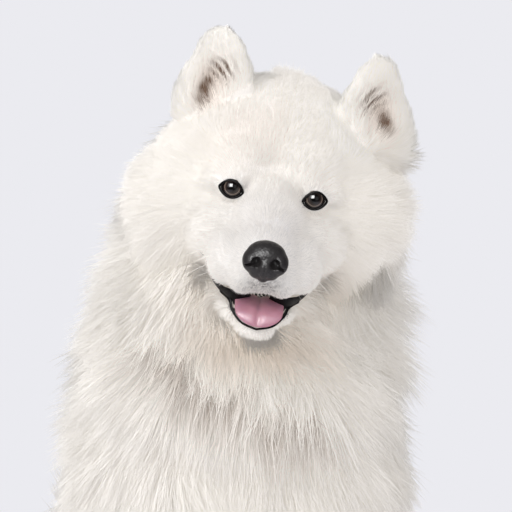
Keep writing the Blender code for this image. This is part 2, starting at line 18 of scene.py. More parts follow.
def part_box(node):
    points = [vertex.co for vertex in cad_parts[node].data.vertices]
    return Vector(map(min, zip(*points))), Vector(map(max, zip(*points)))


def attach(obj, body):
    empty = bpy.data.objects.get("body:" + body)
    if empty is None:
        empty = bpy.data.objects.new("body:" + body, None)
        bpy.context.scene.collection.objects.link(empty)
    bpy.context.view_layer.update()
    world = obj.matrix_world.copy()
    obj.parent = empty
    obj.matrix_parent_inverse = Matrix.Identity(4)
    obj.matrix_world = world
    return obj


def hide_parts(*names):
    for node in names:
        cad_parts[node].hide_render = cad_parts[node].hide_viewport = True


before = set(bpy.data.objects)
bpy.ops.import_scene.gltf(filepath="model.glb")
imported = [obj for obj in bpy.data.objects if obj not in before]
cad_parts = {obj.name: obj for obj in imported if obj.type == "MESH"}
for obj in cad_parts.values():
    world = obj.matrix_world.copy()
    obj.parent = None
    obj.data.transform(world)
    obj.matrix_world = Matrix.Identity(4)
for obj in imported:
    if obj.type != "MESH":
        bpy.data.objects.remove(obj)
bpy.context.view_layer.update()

MM = 0.001


# Stage: a plain pale floor and an even pale light like that of a photographer's sweep. The
# lamps are broad and soft, brightest from the camera's left, and two cast no shadow.

PALE = "#EBEBF0"


def linear(hex_colour, alpha=1.0):
    """An sRGB hex colour as linear numbers."""
    parts = [int(hex_colour[k : k + 2], 16) / 255 for k in (1, 3, 5)]
    return [p / 12.92 if p <= 0.04045 else ((p + 0.055) / 1.055) ** 2.4 for p in parts] + [alpha]


def add_node(tree, kind, inputs=None, **settings):
    """A node of this kind, with its settings, and each input given a value or a link."""
    made = tree.nodes.new(kind)
    for name, value in settings.items():
        setattr(made, name, value)
    for name, value in (inputs or {}).items():
        if isinstance(value, bpy.types.NodeSocket):
            tree.links.new(value, made.inputs[name])
        else:
            made.inputs[name].default_value = value
    return made


def new_material(name, colour, roughness, **sockets):
    """A material with one Principled shader, and that shader's tree."""
    made = bpy.data.materials.new(name)
    made.use_nodes = True
    shader = made.node_tree.nodes["Principled BSDF"]
    shader.inputs["Base Color"].default_value = linear(colour)
    shader.inputs["Roughness"].default_value = roughness
    for socket, value in sockets.items():
        shader.inputs[socket.replace("_", " ")].default_value = value
    return made, made.node_tree, shader


def add_math(tree, operation, *values):
    """The outcome of one sum with numbers or links."""
    return add_node(tree, "ShaderNodeMath", dict(enumerate(values)), operation=operation).outputs[0]


def object_noise(tree, scale, detail):
    """Noise over an object's own coordinates."""
    place = add_node(tree, "ShaderNodeTexCoord").outputs["Object"]
    return add_node(tree, "ShaderNodeTexNoise", {"Vector": place, "Scale": scale, "Detail": detail})


def add_bump(tree, shader, height, strength, depth, **settings):
    """A shader's bump, as deep as this and as strong, from a node's output."""
    inputs = {"Height": height, "Strength": strength, "Distance": depth}
    bump = add_node(tree, "ShaderNodeBump", inputs, **settings)
    tree.links.new(bump.outputs["Normal"], shader.inputs["Normal"])


def linked(name, data):
    """A new object of this data, in the scene."""
    made = bpy.data.objects.new(name, data)
    bpy.context.scene.collection.objects.link(made)
    return made


def mesh_object(name, points, faces):
    """An object of these points and faces, with its faces turned outwards."""
    mesh = bpy.data.meshes.new(name)
    mesh.from_pydata([tuple(p) for p in points], [], [tuple(f) for f in faces])
    bm = bmesh.new()
    bm.from_mesh(mesh)
    bmesh.ops.recalc_face_normals(bm, faces=bm.faces)
    bm.to_mesh(mesh)
    bm.free()
    mesh.shade_smooth()
    return linked(name, mesh)


FLOOR_REACH = 2.0
FLOOR_SOLID = 0.7  # beyond this distance the floor fades into the pale surround
floor = mesh_object(
    "floor",
    [(x * FLOOR_REACH, y * FLOOR_REACH, 0) for x, y in ((-1, -1), (1, -1), (1, 1), (-1, 1))],
    [(0, 1, 2, 3)],
)
floor_paint, tree, shader = new_material("matt_floor_paint", "#E2E2E7", 0.9)
place = add_node(tree, "ShaderNodeTexCoord")
reach = add_node(tree, "ShaderNodeVectorMath", {0: place.outputs["Object"]}, operation="LENGTH")
fade = add_node(
    tree,
    "ShaderNodeMapRange",
    {
        "Value": reach.outputs["Value"],
        "From Min": FLOOR_SOLID,
        "From Max": FLOOR_REACH * 0.95,
        "To Min": 0.0,
        "To Max": 1.0,
    },
    interpolation_type="SMOOTHERSTEP",
)
clear = add_node(tree, "ShaderNodeBsdfTransparent")
blend = add_node(
    tree,
    "ShaderNodeMixShader",
    {0: fade.outputs["Result"], 1: shader.outputs["BSDF"], 2: clear.outputs["BSDF"]},
)
tree.links.new(blend.outputs["Shader"], tree.nodes["Material Output"].inputs["Surface"])
floor.data.materials.append(floor_paint)

world = bpy.data.worlds.new("studio")
world.use_nodes = True
world.node_tree.nodes["Background"].inputs["Color"].default_value = linear(PALE)
bpy.context.scene.world = world
bpy.context.scene.view_settings.view_transform = "Standard"

# The camera: its turn and height round the eyes, its distance, and the photo's pixels per
# metre where the eyes are, with the photo's middle off the eyes by so many pixels.
CAMERA_TURN = math.radians(-18)
CAMERA_RISE = math.radians(3)
CAMERA_DISTANCE = 2.0
PIXELS_PER_METRE = 1180
PHOTO_WIDTH = 512
EYES_OFF_MIDDLE = (17, 63)

eye_boxes = [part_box("eye_left"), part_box("eye_right")]
eyes_middle = sum((low + high for low, high in eye_boxes), Vector()) / 4
camera_back = Vector(
    (
        math.sin(CAMERA_TURN) * math.cos(CAMERA_RISE),
        -math.cos(CAMERA_TURN) * math.cos(CAMERA_RISE),
        math.sin(CAMERA_RISE),
    )
)
camera_right = Vector((math.cos(CAMERA_TURN), math.sin(CAMERA_TURN), 0))
camera_up = camera_back.cross(camera_right)
lens = bpy.data.cameras.new("camera")
lens.sensor_width = 36
lens.lens = lens.sensor_width * PIXELS_PER_METRE * CAMERA_DISTANCE / PHOTO_WIDTH
camera = linked("camera", lens)
camera.location = (
    eyes_middle
    + camera_back * CAMERA_DISTANCE
    - camera_right * (EYES_OFF_MIDDLE[0] / PIXELS_PER_METRE)
    - camera_up * (EYES_OFF_MIDDLE[1] / PIXELS_PER_METRE)
)
camera.rotation_mode = "QUATERNION"
camera.rotation_quaternion = (-camera_back).to_track_quat("-Z", "Y")
bpy.context.scene.camera = camera


def soft_lamp(name, side, rise, ahead, width, watts):
    """A square lamp aimed at the eyes, placed in metres to the camera's right, up and ahead."""
    lamp = bpy.data.lights.new(name, "AREA")
    lamp.size = width
    lamp.energy = watts
    made = linked(name, lamp)
    away = camera_right * side + Vector((0, 0, rise)) + camera_back * ahead
    made.location = eyes_middle + away
    made.rotation_mode = "QUATERNION"
    made.rotation_quaternion = (-away).to_track_quat("-Z", "Y")
    return made


soft_lamp("key", -1.3, 1.0, 1.5, 1.3, 11)
# Light that white hair passes on fills its own shadows, so these two lamps cast none.
soft_lamp("bounce", -1.3, 0.6, 1.5, 1.6, 11).data.use_shadow = False
soft_lamp("fill", 1.2, 0.1, 1.8, 1.6, 4.4).data.use_shadow = False
# The wet eyes and nose mirror one bright window and not the pale room.
soft_lamp("catch_light", -0.42, 0.62, 1.6, 1.1, 85).visible_diffuse = False
world.cycles_visibility.glossy = False


# Skin: the still model's body under its coat, one sheet from the nose to the tail. Its
# forms are those of the solids, less the coat, fused and smoothed like clay.

WITHERS = 0.56
EYE_MIDPOINT = Vector((-0.008, -0.195, 1.152 * WITHERS))
EYE_SINK = 5 * MM
EYE_APART = 70 * MM
# The head turns to its right, bows and tilts.
HEAD_TURNED = (
    Matrix.Rotation(math.radians(-18), 4, "Z")
    @ Matrix.Rotation(math.radians(15), 4, "X")
    @ Matrix.Rotation(math.radians(8.5), 4, "Y")
)
HEAD_PLACE = eyes_middle - HEAD_TURNED @ Vector((0, EYE_SINK, 0))
HEAD = Matrix.Translation(HEAD_PLACE) @ HEAD_TURNED
BODY_SHIFT = np.array(HEAD_PLACE - EYE_MIDPOINT)
UNDERCOAT = 0.45  # the skin lies this share of the coat's depth above the bare body

# Each station reads x, y, z, half width, depth to the back, depth to the front, and the
# depth of the coat at the back and at the front.
STATIONS = {
    "neck": (
        (24, -88, 668, 62, 55, 32, 45, 24),
        (20, -84, 615, 75, 68, 44, 55, 34),
        (11, -78, 560, 87, 84, 64, 60, 44),
        (4, -70, 503, 97, 92, 100, 58, 60),
        (0, -60, 443, 88, 88, 112, 50, 62),
    ),
    "chest": (
        (8, -70, 525, 75, 70, 70, 30, 30),
        (9, -62, 475, 104, 94, 84, 45, 50),
        (11, -42, 415, 114, 118, 118, 50, 60),
        (7, -5, 350, 115, 122, 128, 50, 55),
        (0, 38, 290, 116, 120, 118, 45, 40),
        (0, 75, 240, 100, 100, 90, 30, 30),
    ),
    "rump": (
        (0, 50, 320, 95, 90, 85, 30, 20),
        (0, 90, 265, 108, 110, 95, 42, 25),
        (0, 130, 210, 112, 112, 95, 48, 25),
        (0, 168, 150, 115, 112, 95, 48, 25),
        (0, 200, 85, 112, 98, 90, 45, 25),
        (0, 212, 5, 84, 72, 74, 30, 20),
    ),
    "tail": (
        (0, 265, 120, 22, 22, 22, 20, 30),
        (0, 335, 160, 22, 22, 22, 25, 50),
        (4, 362, 240, 21, 21, 21, 25, 60),
        (14, 335, 318, 20, 20, 20, 25, 65),
        (34, 270, 368, 18, 18, 18, 30, 60),
        (62, 198, 385, 14, 14, 14, 30, 50),
    ),
    "thigh": (
        (88, 262, 120, 40, 75, 60, 30, 40),
        (108, 200, 135, 52, 92, 85, 30, 40),
        (124, 125, 138, 56, 95, 90, 30, 35),
        (134, 55, 132, 50, 80, 78, 30, 30),
        (136, 5, 122, 38, 58, 58, 30, 28),
    ),
    "hind_foot": (
        (128, 150, 40, 24, 34, 26, 10, 8),
        (131, 80, 30, 24, 26, 20, 8, 7),
        (135, 10, 27, 27, 26, 18, 7, 7),
        (138, -45, 24, 31, 24, 17, 6, 6),
    ),
    "foreleg": (
        (88, -62, 345, 48, 55, 50, 30, 20),
        (86, -70, 275, 40, 50, 42, 35, 15),
        (81, -84, 200, 30, 36, 30, 28, 8),
        (77, -95, 130, 25, 28, 25, 22, 6),
        (74, -100, 75, 25, 26, 24, 10, 4),
        (73, -104, 36, 25, 26, 24, 4, 3),
    ),
    "ear": (
        (5, 0, 66, 8, 7, 6, 0, 0),
        (5, -1, 56, 19, 9, 8, 0, 0),
        (3, 0, 40, 26, 13, 10, 0, 0),
        (0, 2, 20, 34, 17, 13, 0, 0),
        (-1, 3, -8, 37, 20, 16, 0, 0),
        (-8, 5, -30, 32, 18, 14, 0, 0),
    ),
    "ear_cup": (
        (4, -15, 42, 6, 7, 5, 0, 0),
        (3, -15, 30, 12, 11, 6, 0, 0),
        (1, -16, 14, 17, 13, 8, 0, 0),
        (-1, -17, -2, 16, 12, 8, 0, 0),
        (-1, -18, -14, 10, 8, 6, 0, 0),
    ),
}
DOMES = {"tail": 0.1, "thigh": 0.28, "foreleg": 0.12, "ear": 0.12}
SIDES = (("left", 1), ("right", -1))
SLOPE_STEP = 0.02  # the share of a form's length, each way, over which its slope is read


def unit(vectors):
    return vectors / np.maximum(np.linalg.norm(vectors, axis=-1, keepdims=True), 1e-9)


def on_curve(rows, place):
    """Rows of numbers at places between them, counted from the first, on a smooth curve."""
    last = len(rows) - 1
    index = np.minimum(place.astype(int), last - 1)
    t = (place - index)[:, None]
    a, b, c, d = (rows[np.clip(index + k, 0, last)] for k in (-1, 0, 1, 2))
    return 0.5 * (
        2 * b + (c - a) * t + (2 * a - 5 * b + 4 * c - d) * t**2 + (3 * b - a - 3 * c + d) * t**3
    )


class Form:
    """A lofted body part, with an elliptical section at any share of its length."""

    def __init__(self, name, side=1, shift=(0, 0, 0)):
        self.rows = np.array(STATIONS[name], float) * MM
        self.rows[:, 0] *= side
        self.rows[:, :3] += shift
        self.dome = DOMES.get(name, 0.2)

    def values(self, share):
        """The stations' numbers at shares of the length."""
        return on_curve(self.rows, np.clip(share, 0, 1) * (len(self.rows) - 1))

    def surface(self, share, angle, fill, domed=True):
        """Points at a fill of the coat, which is 0 on the bare body and 1 at the tips."""
        here = self.values(share)
        ahead = self.values(np.minimum(share + SLOPE_STEP, 1))
        behind = self.values(np.maximum(share - SLOPE_STEP, 0))
        tangent = unit(ahead[:, :3] - behind[:, :3])
        across = unit(np.array((1.0, 0, 0)) - tangent * tangent[:, :1])
        rear = np.cross(across, tangent)
        c, s = np.cos(angle)[:, None], np.sin(angle)[:, None]
        coat = here[:, 7:] + (here[:, 6:7] - here[:, 7:]) * (1 + s) / 2
        depth = np.where(s > 0, here[:, 4:5], here[:, 5:6])
        more = coat * fill
        end = np.minimum(share, 1 - share)[:, None] / self.dome
        closing = np.sqrt(np.clip(1 - (1 - np.minimum(end, 1)) ** 2, 0, 1)) if domed else 1.0
        offset = across * (here[:, 3:4] + more) * c + rear * (depth + more) * s
        return here[:, :3] + offset * closing + tangent * more * (2 * share[:, None] - 1) ** 3

    def mesh(self, fill, rings=26, sides=30):
        """The closed form as an object."""
        shares = (1 - np.cos(np.pi * np.arange(1, rings + 1) / (rings + 1))) / 2
        angles = 2 * np.pi * np.arange(sides) / sides
        grid = self.surface(np.repeat(shares, sides), np.tile(angles, rings), fill)
        ends = self.surface(np.array((0.0, 1.0)), np.zeros(2), fill)
        return mesh_object("form", np.vstack((grid, ends)), tube_faces(rings, sides))


def tube_faces(rings, sides, looped=False):
    """Faces of a tube of rings, looped round or closed by the two points that follow them."""
    faces = []
    for ring in range(rings if looped else rings - 1):
        a, b = ring * sides, (ring + 1) % rings * sides
        faces += [(a + k, a + (k + 1) % sides, b + (k + 1) % sides, b + k) for k in range(sides)]
    if not looped:
        low, high, last = rings * sides, rings * sides + 1, (rings - 1) * sides
        faces += [(low, (k + 1) % sides, k) for k in range(sides)]
        faces += [(high, last + k, last + (k + 1) % sides) for k in range(sides)]
    return faces


def soft(left, forward, up, wide, long, high):
    """One ellipsoid of the head, or a pair of them where it stands off the middle."""
    made = []
    for side in (-1, 1) if left else (1,):
        bm = bmesh.new()
        bmesh.ops.create_uvsphere(bm, u_segments=40, v_segments=24, radius=1)
        place = Matrix.Translation(Vector((left * side, -forward, up)) * MM)
        size = Matrix.Diagonal((wide * MM, long * MM, high * MM, 1))
        bmesh.ops.transform(bm, matrix=place @ size, verts=bm.verts)
        mesh = bpy.data.meshes.new("soft")
        bm.to_mesh(mesh)
        bm.free()
        made.append(linked("soft", mesh))
    return made


def applied(obj):
    """Gives the object its evaluated mesh, with no modifiers left."""
    graph = bpy.context.evaluated_depsgraph_get()
    mesh = bpy.data.meshes.new_from_object(obj.evaluated_get(graph))
    obj.modifiers.clear()
    obj.data = mesh
    return obj


def delete(objects):
    for obj in objects:
        bpy.data.objects.remove(obj, do_unlink=True)


def combine(target, operation, others):
    """One Boolean with closed meshes, which are then removed."""
    group = bpy.data.collections.new("operands")
    for obj in others:
        group.objects.link(obj)
    modifier = target.modifiers.new("Boolean", "BOOLEAN")
    modifier.operation = operation
    modifier.operand_type = "COLLECTION"
    modifier.collection = group
    modifier.solver = "MANIFOLD"
    applied(target)
    delete(others)
    bpy.data.collections.remove(group)
    return target


def melted(obj, voxel, rounds):
    """Draws a skin of small squares over the object and smooths it some rounds."""
    remesh = obj.modifiers.new("Remesh", "REMESH")
    remesh.mode = "VOXEL"
    remesh.voxel_size = voxel
    smooth = obj.modifiers.new("Smooth", "SMOOTH")
    smooth.factor = 0.5
    smooth.iterations = rounds
    return applied(obj)


def corners(obj, value="co"):
    """The object's points as an array, or another value that each of them has."""
    rows = np.empty(len(obj.data.vertices) * 3)
    obj.data.vertices.foreach_get(value, rows)
    return rows.reshape(-1, 3)


def push_out(obj, distance):
    """Moves a smooth mesh's points along their normals."""
    moved = corners(obj) + corners(obj, "normal") * distance
    obj.data.vertices.foreach_set("co", moved.ravel())
    obj.data.update()
    return obj


EAR_TURN = math.radians(14)
# Each ear's lean outwards in degrees, and its foot on the head. The two differ a little.
EARS = {1: (-13, (82, 60, 52)), -1: (-9, (-62, 60, 59))}


def ear_place(side):
    """Where an ear stands on the head, and how it turns out and leans."""
    degrees, foot = EARS[side]
    lean = Matrix.Rotation(side * math.radians(degrees), 4, "Y")
    return Matrix.Translation(Vector(foot) * MM) @ (Matrix.Rotation(side * EAR_TURN, 4, "Z") @ lean)


HEAD_VOXEL = 2.3 * MM
BODY_VOXEL = 6 * MM
FACE_FUR = 2.5 * MM  # the skin of the head lies this far inside the solid head

# The head's forms: how far to the left, forward and up, and their half sizes that way.
HEAD_FORMS = (
    (0, -82, 2, 97, 74, 82),  # the skull
    (54, -62, -30, 54, 52, 58),  # the cheeks
    (24, -32, 20, 32, 29, 24),  # the forehead
    (28, -13, 9, 18, 16, 13),  # the brows
    (45, -14, 3, 14, 14, 13),  # the outer rims of the eye sockets
    (0, 4, -18, 31, 46, 26),  # the root of the muzzle
    (0, -8, -4, 21, 32, 20),  # the stop, between the eyes
    (0, 44, -32, 25, 38, 21),  # the bridge of the muzzle
    (31, 26, -50, 19, 41, 25),  # the sides of the muzzle
    (36, -10, -42, 30, 34, 32),  # the face under the eyes
    (16, 54, -52, 17, 30, 21),  # the upper lips
    (0, 67, -43, 19, 22, 20),  # the tip of the muzzle
    (0, 58, -50, 12, 27, 20),  # the middle of the upper lip
    (0, -70, -60, 60, 50, 50),  # the throat
)
head_forms = [form for numbers in HEAD_FORMS for form in soft(*numbers)]
skin = melted(combine(head_forms[0], "UNION", head_forms[1:]), HEAD_VOXEL, 18)
push_out(skin, -FACE_FUR)

JAW_FORMS = (
    (0, -2, -90, 37, 46, 19),  # the jaw
    (0, 32, -96, 24, 34, 12),  # the front of the jaw
    (21, 30, -90, 9.5, 27, 10),  # the lower lips
    (0, 52, -102, 17, 18, 8.5),  # the chin
)
jaw_forms = [form for numbers in JAW_FORMS for form in soft(*numbers)]
jaw = melted(combine(jaw_forms[0], "UNION", jaw_forms[1:]), HEAD_VOXEL, 10)
push_out(jaw, -FACE_FUR / 2)

ears = []
for word, side in SIDES:
    shell = push_out(Form("ear", side).mesh(0), -FACE_FUR)
    combine(shell, "DIFFERENCE", [Form("ear_cup", side).mesh(0)])
    shell.data.transform(ear_place(side))
    ears.append(shell)

LID_RADIUS = 11.9  # millimetres of the lids' bulge round each eye
lids = soft(EYE_APART / 2 / MM, -EYE_SINK / MM, 0, LID_RADIUS, LID_RADIUS, LID_RADIUS)
combine(skin, "UNION", [jaw, *ears, *lids])
# The inside of the mouth, and the openings of the eyes.
hollows = soft(0, 32, -78, 21, 44, 12) + soft(14, 36, -80, 14, 32, 10)
hollows += soft(35.6, 10, 0.9, 9.9, 18, 8.4)
combine(skin, "DIFFERENCE", hollows)
melted(skin, HEAD_VOXEL, 3)
skin.data.transform(HEAD)

forms = {name: Form(name, 1, BODY_SHIFT) for name in ("neck", "chest", "rump", "tail")}
for word, side in SIDES:
    for name in ("thigh", "hind_foot", "foreleg"):
        forms[f"{name}_{word}"] = Form(name, side, BODY_SHIFT)

body_forms = [form.mesh(UNDERCOAT) for form in forms.values()]
# A paw's toes: the place they fan out from, how far to the side and ahead, and their size.
FOREPAW = ((73, -118, 17), (23, 32), (10, 16, 15))
HIND_PAW = ((137, -30, 16), (22, 30), (10, 16, 13))


def toes(paw, side):
    """The middles of a paw's four toes."""
    (x, y, z), (apart, ahead), _ = paw
    centres = []
    for toe in range(4):
        across = (toe - 1.5) / 1.5
        offset = Vector((across * apart, -ahead * (1 - 0.35 * across * across), 0))
        centres.append((Vector((x * side, y, z)) + offset) * MM + Vector(BODY_SHIFT))
    return centres


for word, side in SIDES:
    low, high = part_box(f"forepaw_{word}")
    middle, half = (low + high) / 2, (high - low) / 2
    paw = soft(0, 0, 0, half.x / MM - 1.5, half.y / MM - 8, 25)[0]
    paw.data.transform(Matrix.Translation((middle.x, middle.y + 4 * MM, low.z + 22 * MM)))
    body_forms.append(paw)
    for foot in (FOREPAW, HIND_PAW):
        for centre in toes(foot, side):
            made = soft(0, 0, 0, *foot[2])[0]
            made.data.transform(Matrix.Translation(centre))
            body_forms.append(made)
body = combine(body_forms[0], "UNION", body_forms[1:])
melted(body, BODY_VOXEL, 8)
combine(skin, "UNION", [body])
skin.name = "skin"
skin.data.name = "skin"
skin.data.shade_smooth()

SOLE_RISE = 1.0 * MM  # the skin's soles stay this far above the floor
skin_points = corners(skin)
skin_points[:, 2] = np.maximum(skin_points[:, 2], SOLE_RISE)
skin.data.vertices.foreach_set("co", skin_points.ravel())
skin.data.update()
TO_HEAD = np.array(HEAD.inverted())


def on_head(points):
    """Places in the head's own millimetres: to its left, forward of the eyes and above them."""
    local = points @ TO_HEAD[:3, :3].T + TO_HEAD[:3, 3]
    return local * np.array((1, -1, 1)) / MM


def near(places, centre, sizes):
    """A soft mask that is 1 at a centre and fades to 0.14 at its size each way."""
    offset = (places - np.array(centre)) / np.array(sizes)
    return np.exp(-2 * (offset**2).sum(axis=1))


def mixed(colours, other, mask):
    return colours + (np.array(linear(other)[:3]) - colours) * np.clip(mask, 0, 1)[:, None]


# The lower edge of the ruff, in millimetres: the hair just below it is painted creamier as shade.
RUFF_EDGE = ((-95, -160, 515), (-85, -170, 500), (-37, -186, 472), (5, -199, 456), (38, -209, 446))
RUFF_SHADE = 14  # millimetres over which that shade fades
RUFF_ROOT_SHADE = "#7D614A"  # painted shade on the roots of the hair that starts from under the ruff
# The line of the lips from each corner of the mouth to the tongue, on the head: bare and black.
LIP_LINE = ((51, 7, -57), (48, 13, -62), (41.5, 26, -71.5), (33, 43, -75), (25, 55, -75.5))


def from_path(points, path):
    """How far points lie from a path, and which share of the path they lie beside."""
    path = np.array(path, float)
    least, along = np.full(len(points), np.inf), np.zeros(len(points))
    for index, (a, b) in enumerate(zip(path[:-1], path[1:])):
        share = np.clip((points - a) @ (b - a) / ((b - a) @ (b - a)), 0, 1)
        away = np.linalg.norm(points - a - share[:, None] * (b - a), axis=1)
        along = np.where(away < least, (index + share) / (len(path) - 1), along)
        least = np.minimum(least, away)
    return least, along


EYE_SPOT = (35.6, 4, 0.6)
# Soft marks of the face: their colour, strength, middle on the head and reach each way.
FACE_MARKS = (
    ("#DCD9D6", 1.0, (0, 44, -30), (70, 84, 62)),  # the muzzle, a greyer white: painted shade, as its short hair shades itself little
    ("#DCC8B4", 0.55, (47, 6, -86), (26, 40, 26)),  # warmer, creamier hair below the mouth's corners
    ("#D2CCC7", 0.5, EYE_SPOT, (16, 30, 14)),  # painted shade round each eye
)
EYE_MARKS = (
    ("#2B2524", 1.0, EYE_SPOT, (9.4, 30, 6.6)),  # the dark rims of the eyes
    ("#6A5F5B", 0.7, (23.5, 6, 4), (3, 12, 4)),  # a smudge above each eye's inner corner
)
SHADE_STREAK_GAP = 9  # millimetres, upwards, between the dark streaks of painted shade in an ear
LIP_BREADTH, LIP_FADE = 3.6, 1.4  # where the black of the lips ends, and how softly


def markings(points):
    """The coat's and the skin's colour at points of the body, as linear numbers."""
    places = on_head(points)
    # The right half of the forehead, up to a sharp parting, is creamier.
    creamy = near(places, (-28, -20, 45), (60, 60, 45)) / (1 + np.exp((places[:, 0] - 6) / 2))
    painted_fold_shade = near(places, (60, -2, -84), (24, 50, 32))  # painted shade beside the mouth, on the left alone
    places[:, 0] = np.abs(places[:, 0])
    colours = np.tile(np.array(linear("#F7F3EB")[:3]), (len(points), 1))
    colours = mixed(colours, "#E8DDD2", 0.5 * creamy)
    # Painted shade: a creamy band in the crease under the ruff's edge.
    away, _ = from_path(points / MM + np.array((0, 0, 2)), RUFF_EDGE)
    colours = mixed(colours, "#CDB69D", 0.8 * np.exp(-2 * (away / RUFF_SHADE) ** 2))
    cups, streaks = ear_cups_and_shade(points)
    colours = mixed(colours, "#EBD9CA", 0.7 * cups)
    # Painted shade: dark streaks between the hairs low in the ear cups.
    colours = mixed(colours, "#664A34", np.minimum(streaks, 0.95))
    for colour, strength, centre, sizes in FACE_MARKS:
        colours = mixed(colours, colour, strength * near(places, centre, sizes))
    stipple = 0.5 + 1.5 * np.sin(places * 2.9 + 4 * np.sin(places[:, ::-1] * 1.7)).prod(axis=1)
    stubble = 1.1 * near(places, (0, 80, -56), (26, 26, 13))  # under the nose
    colours = mixed(colours, "#3E3836", np.clip(stipple, 0.2, 1) * stubble)
    colours = mixed(colours, "#B59E89", 0.7 * painted_fold_shade)
    # Painted shade: a warm, creamy shadow under the chin and on the throat.
    colours = mixed(colours, "#D2BDA6", 0.75 * near(places, (14, 5, -125), (55, 50, 24)))
    away, _ = from_path(places, LIP_LINE)
    colours = mixed(colours, "#171213", (LIP_BREADTH - away) / LIP_FADE)
    for colour, strength, centre, sizes in EYE_MARKS:
        colours = mixed(colours, colour, strength * near(places, centre, sizes))
    return colours


def ear_cups_and_shade(points):
    """Soft masks of the insides of the ears, and of the dark streaks of painted shade low down in
    them.
    """
    mask, streaks = np.zeros(len(points)), np.zeros(len(points))
    for _, side in SIDES:
        back = np.array((HEAD @ ear_place(side)).inverted())
        local = (points @ back[:3, :3].T + back[:3, 3]) / MM
        local[:, 0] *= side
        slant = local[:, 2] - 0.5 * local[:, 0] - 27 + 0.02 * local[:, 0] ** 2
        lines = (0.5 + 0.5 * np.cos(2 * np.pi * slant / SHADE_STREAK_GAP)) ** 2
        mask = np.maximum(mask, near(local, (2, -8, 12), (20, 15, 32)))
        streaks = np.maximum(streaks, 2.2 * near(local, (-3, -9, 25), (14, 16, 13)) * lines)
        low = 2.2 * near(local, (5, -10, 4), (8, 16, 15))
        streaks = np.maximum(streaks, low * (0.5 + 0.5 * lines))
    return mask, streaks


def paint(mesh, colours):
    """Writes one colour for each point as the mesh's markings."""
    layer = mesh.color_attributes.new("markings", "FLOAT_COLOR", "POINT")
    full = np.ones((len(colours), 4), np.float32)
    full[:, :3] = colours
    layer.data.foreach_set("color", full.ravel())


# The inside of the mouth is painted near black: its own dark skin, and painted shade in its hollow.
mouth_inside_shade = near(on_head(skin_points), (0, 32, -79), (32, 56, 15))
paint(skin.data, mixed(markings(skin_points), "#100A0A", 6 * mouth_inside_shade))
# Museum undercoat: short white wool set in the body, matt, with a fine woolly grain.
undercoat, tree, shader = new_material("white_undercoat_wool", "#F2EEE8", 0.9)
colour = add_node(tree, "ShaderNodeVertexColor", layer_name="markings")
tree.links.new(colour.outputs["Color"], shader.inputs["Base Color"])
grain = object_noise(tree, 900.0, 4.0)
add_bump(tree, shader, grain.outputs["Fac"], 0.6, 0.6 * MM)
skin.data.materials.clear()
skin.data.materials.append(undercoat)
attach(skin, "root")
FLESH = ["head", "neck", "chest", "rump", "tail_root", "tail_tip"]
FLESH += ["ear_left", "ear_right", "lower_jaw"]
for word, _ in SIDES:
    FLESH += [f"thigh_{word}", f"foreleg_{word}", f"forepaw_{word}", f"hind_foot_{word}"]
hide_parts(*FLESH)


# Eyes: glass eyes as a taxidermist sets them, a dark brown iris behind a clear, wet
# cornea, held in the socket by the lids.

EYE_RADIUS = 10.8 * MM
GAZE_RISE = math.radians(18)  # the eyes look up from the lowered head
GAZE = HEAD_TURNED.to_3x3() @ Matrix.Rotation(-GAZE_RISE, 3, "X")


def round_material(name, centre, rings, roughness):
    """A glossy material whose colour goes by the distance from an axis through a centre."""
    made, tree, shader = new_material(
        name, rings[-1][1], roughness, Specular_IOR_Level=0.05, Coat_Weight=0.95
    )
    place = add_node(tree, "ShaderNodeTexCoord")
    offset = add_node(
        tree,
        "ShaderNodeVectorMath",
        {0: place.outputs["Object"], 1: centre},
        operation="SUBTRACT",
    )
    axis = GAZE @ Vector((0, -1, 0))
    cross = add_node(
        tree, "ShaderNodeVectorMath", {0: offset.outputs[0], 1: axis}, operation="CROSS_PRODUCT"
    )
    reach = add_node(tree, "ShaderNodeVectorMath", {0: cross.outputs[0]}, operation="LENGTH")
    streaks = add_node(
        tree, "ShaderNodeTexNoise", {"Vector": cross.outputs[0], "Scale": 700.0, "Detail": 3.0}
    )
    uneven = add_math(
        tree, "MULTIPLY_ADD", streaks.outputs["Fac"], 0.9 * MM, reach.outputs["Value"]
    )
    share = add_math(tree, "DIVIDE", uneven, EYE_RADIUS)
    ramp = add_node(tree, "ShaderNodeValToRGB", {"Fac": share})
    ramp.color_ramp.elements[0].position = rings[0][0]
    ramp.color_ramp.elements[0].color = linear(rings[0][1])
    ramp.color_ramp.elements[1].position = rings[-1][0]
    ramp.color_ramp.elements[1].color = linear(rings[-1][1])
    for position, shade in rings[1:-1]:
        ramp.color_ramp.elements.new(position).color = linear(shade)
    tree.links.new(ramp.outputs["Color"], shader.inputs["Base Color"])
    return made


# Where the cornea begins ahead of the ball's middle, and how deep it is, as shares of the
# ball's radius, and how far its middle bulges.
CORNEA_EDGE, CORNEA_DEPTH = 0.78, 0.22
CORNEA_BULGE = 0.9 * MM
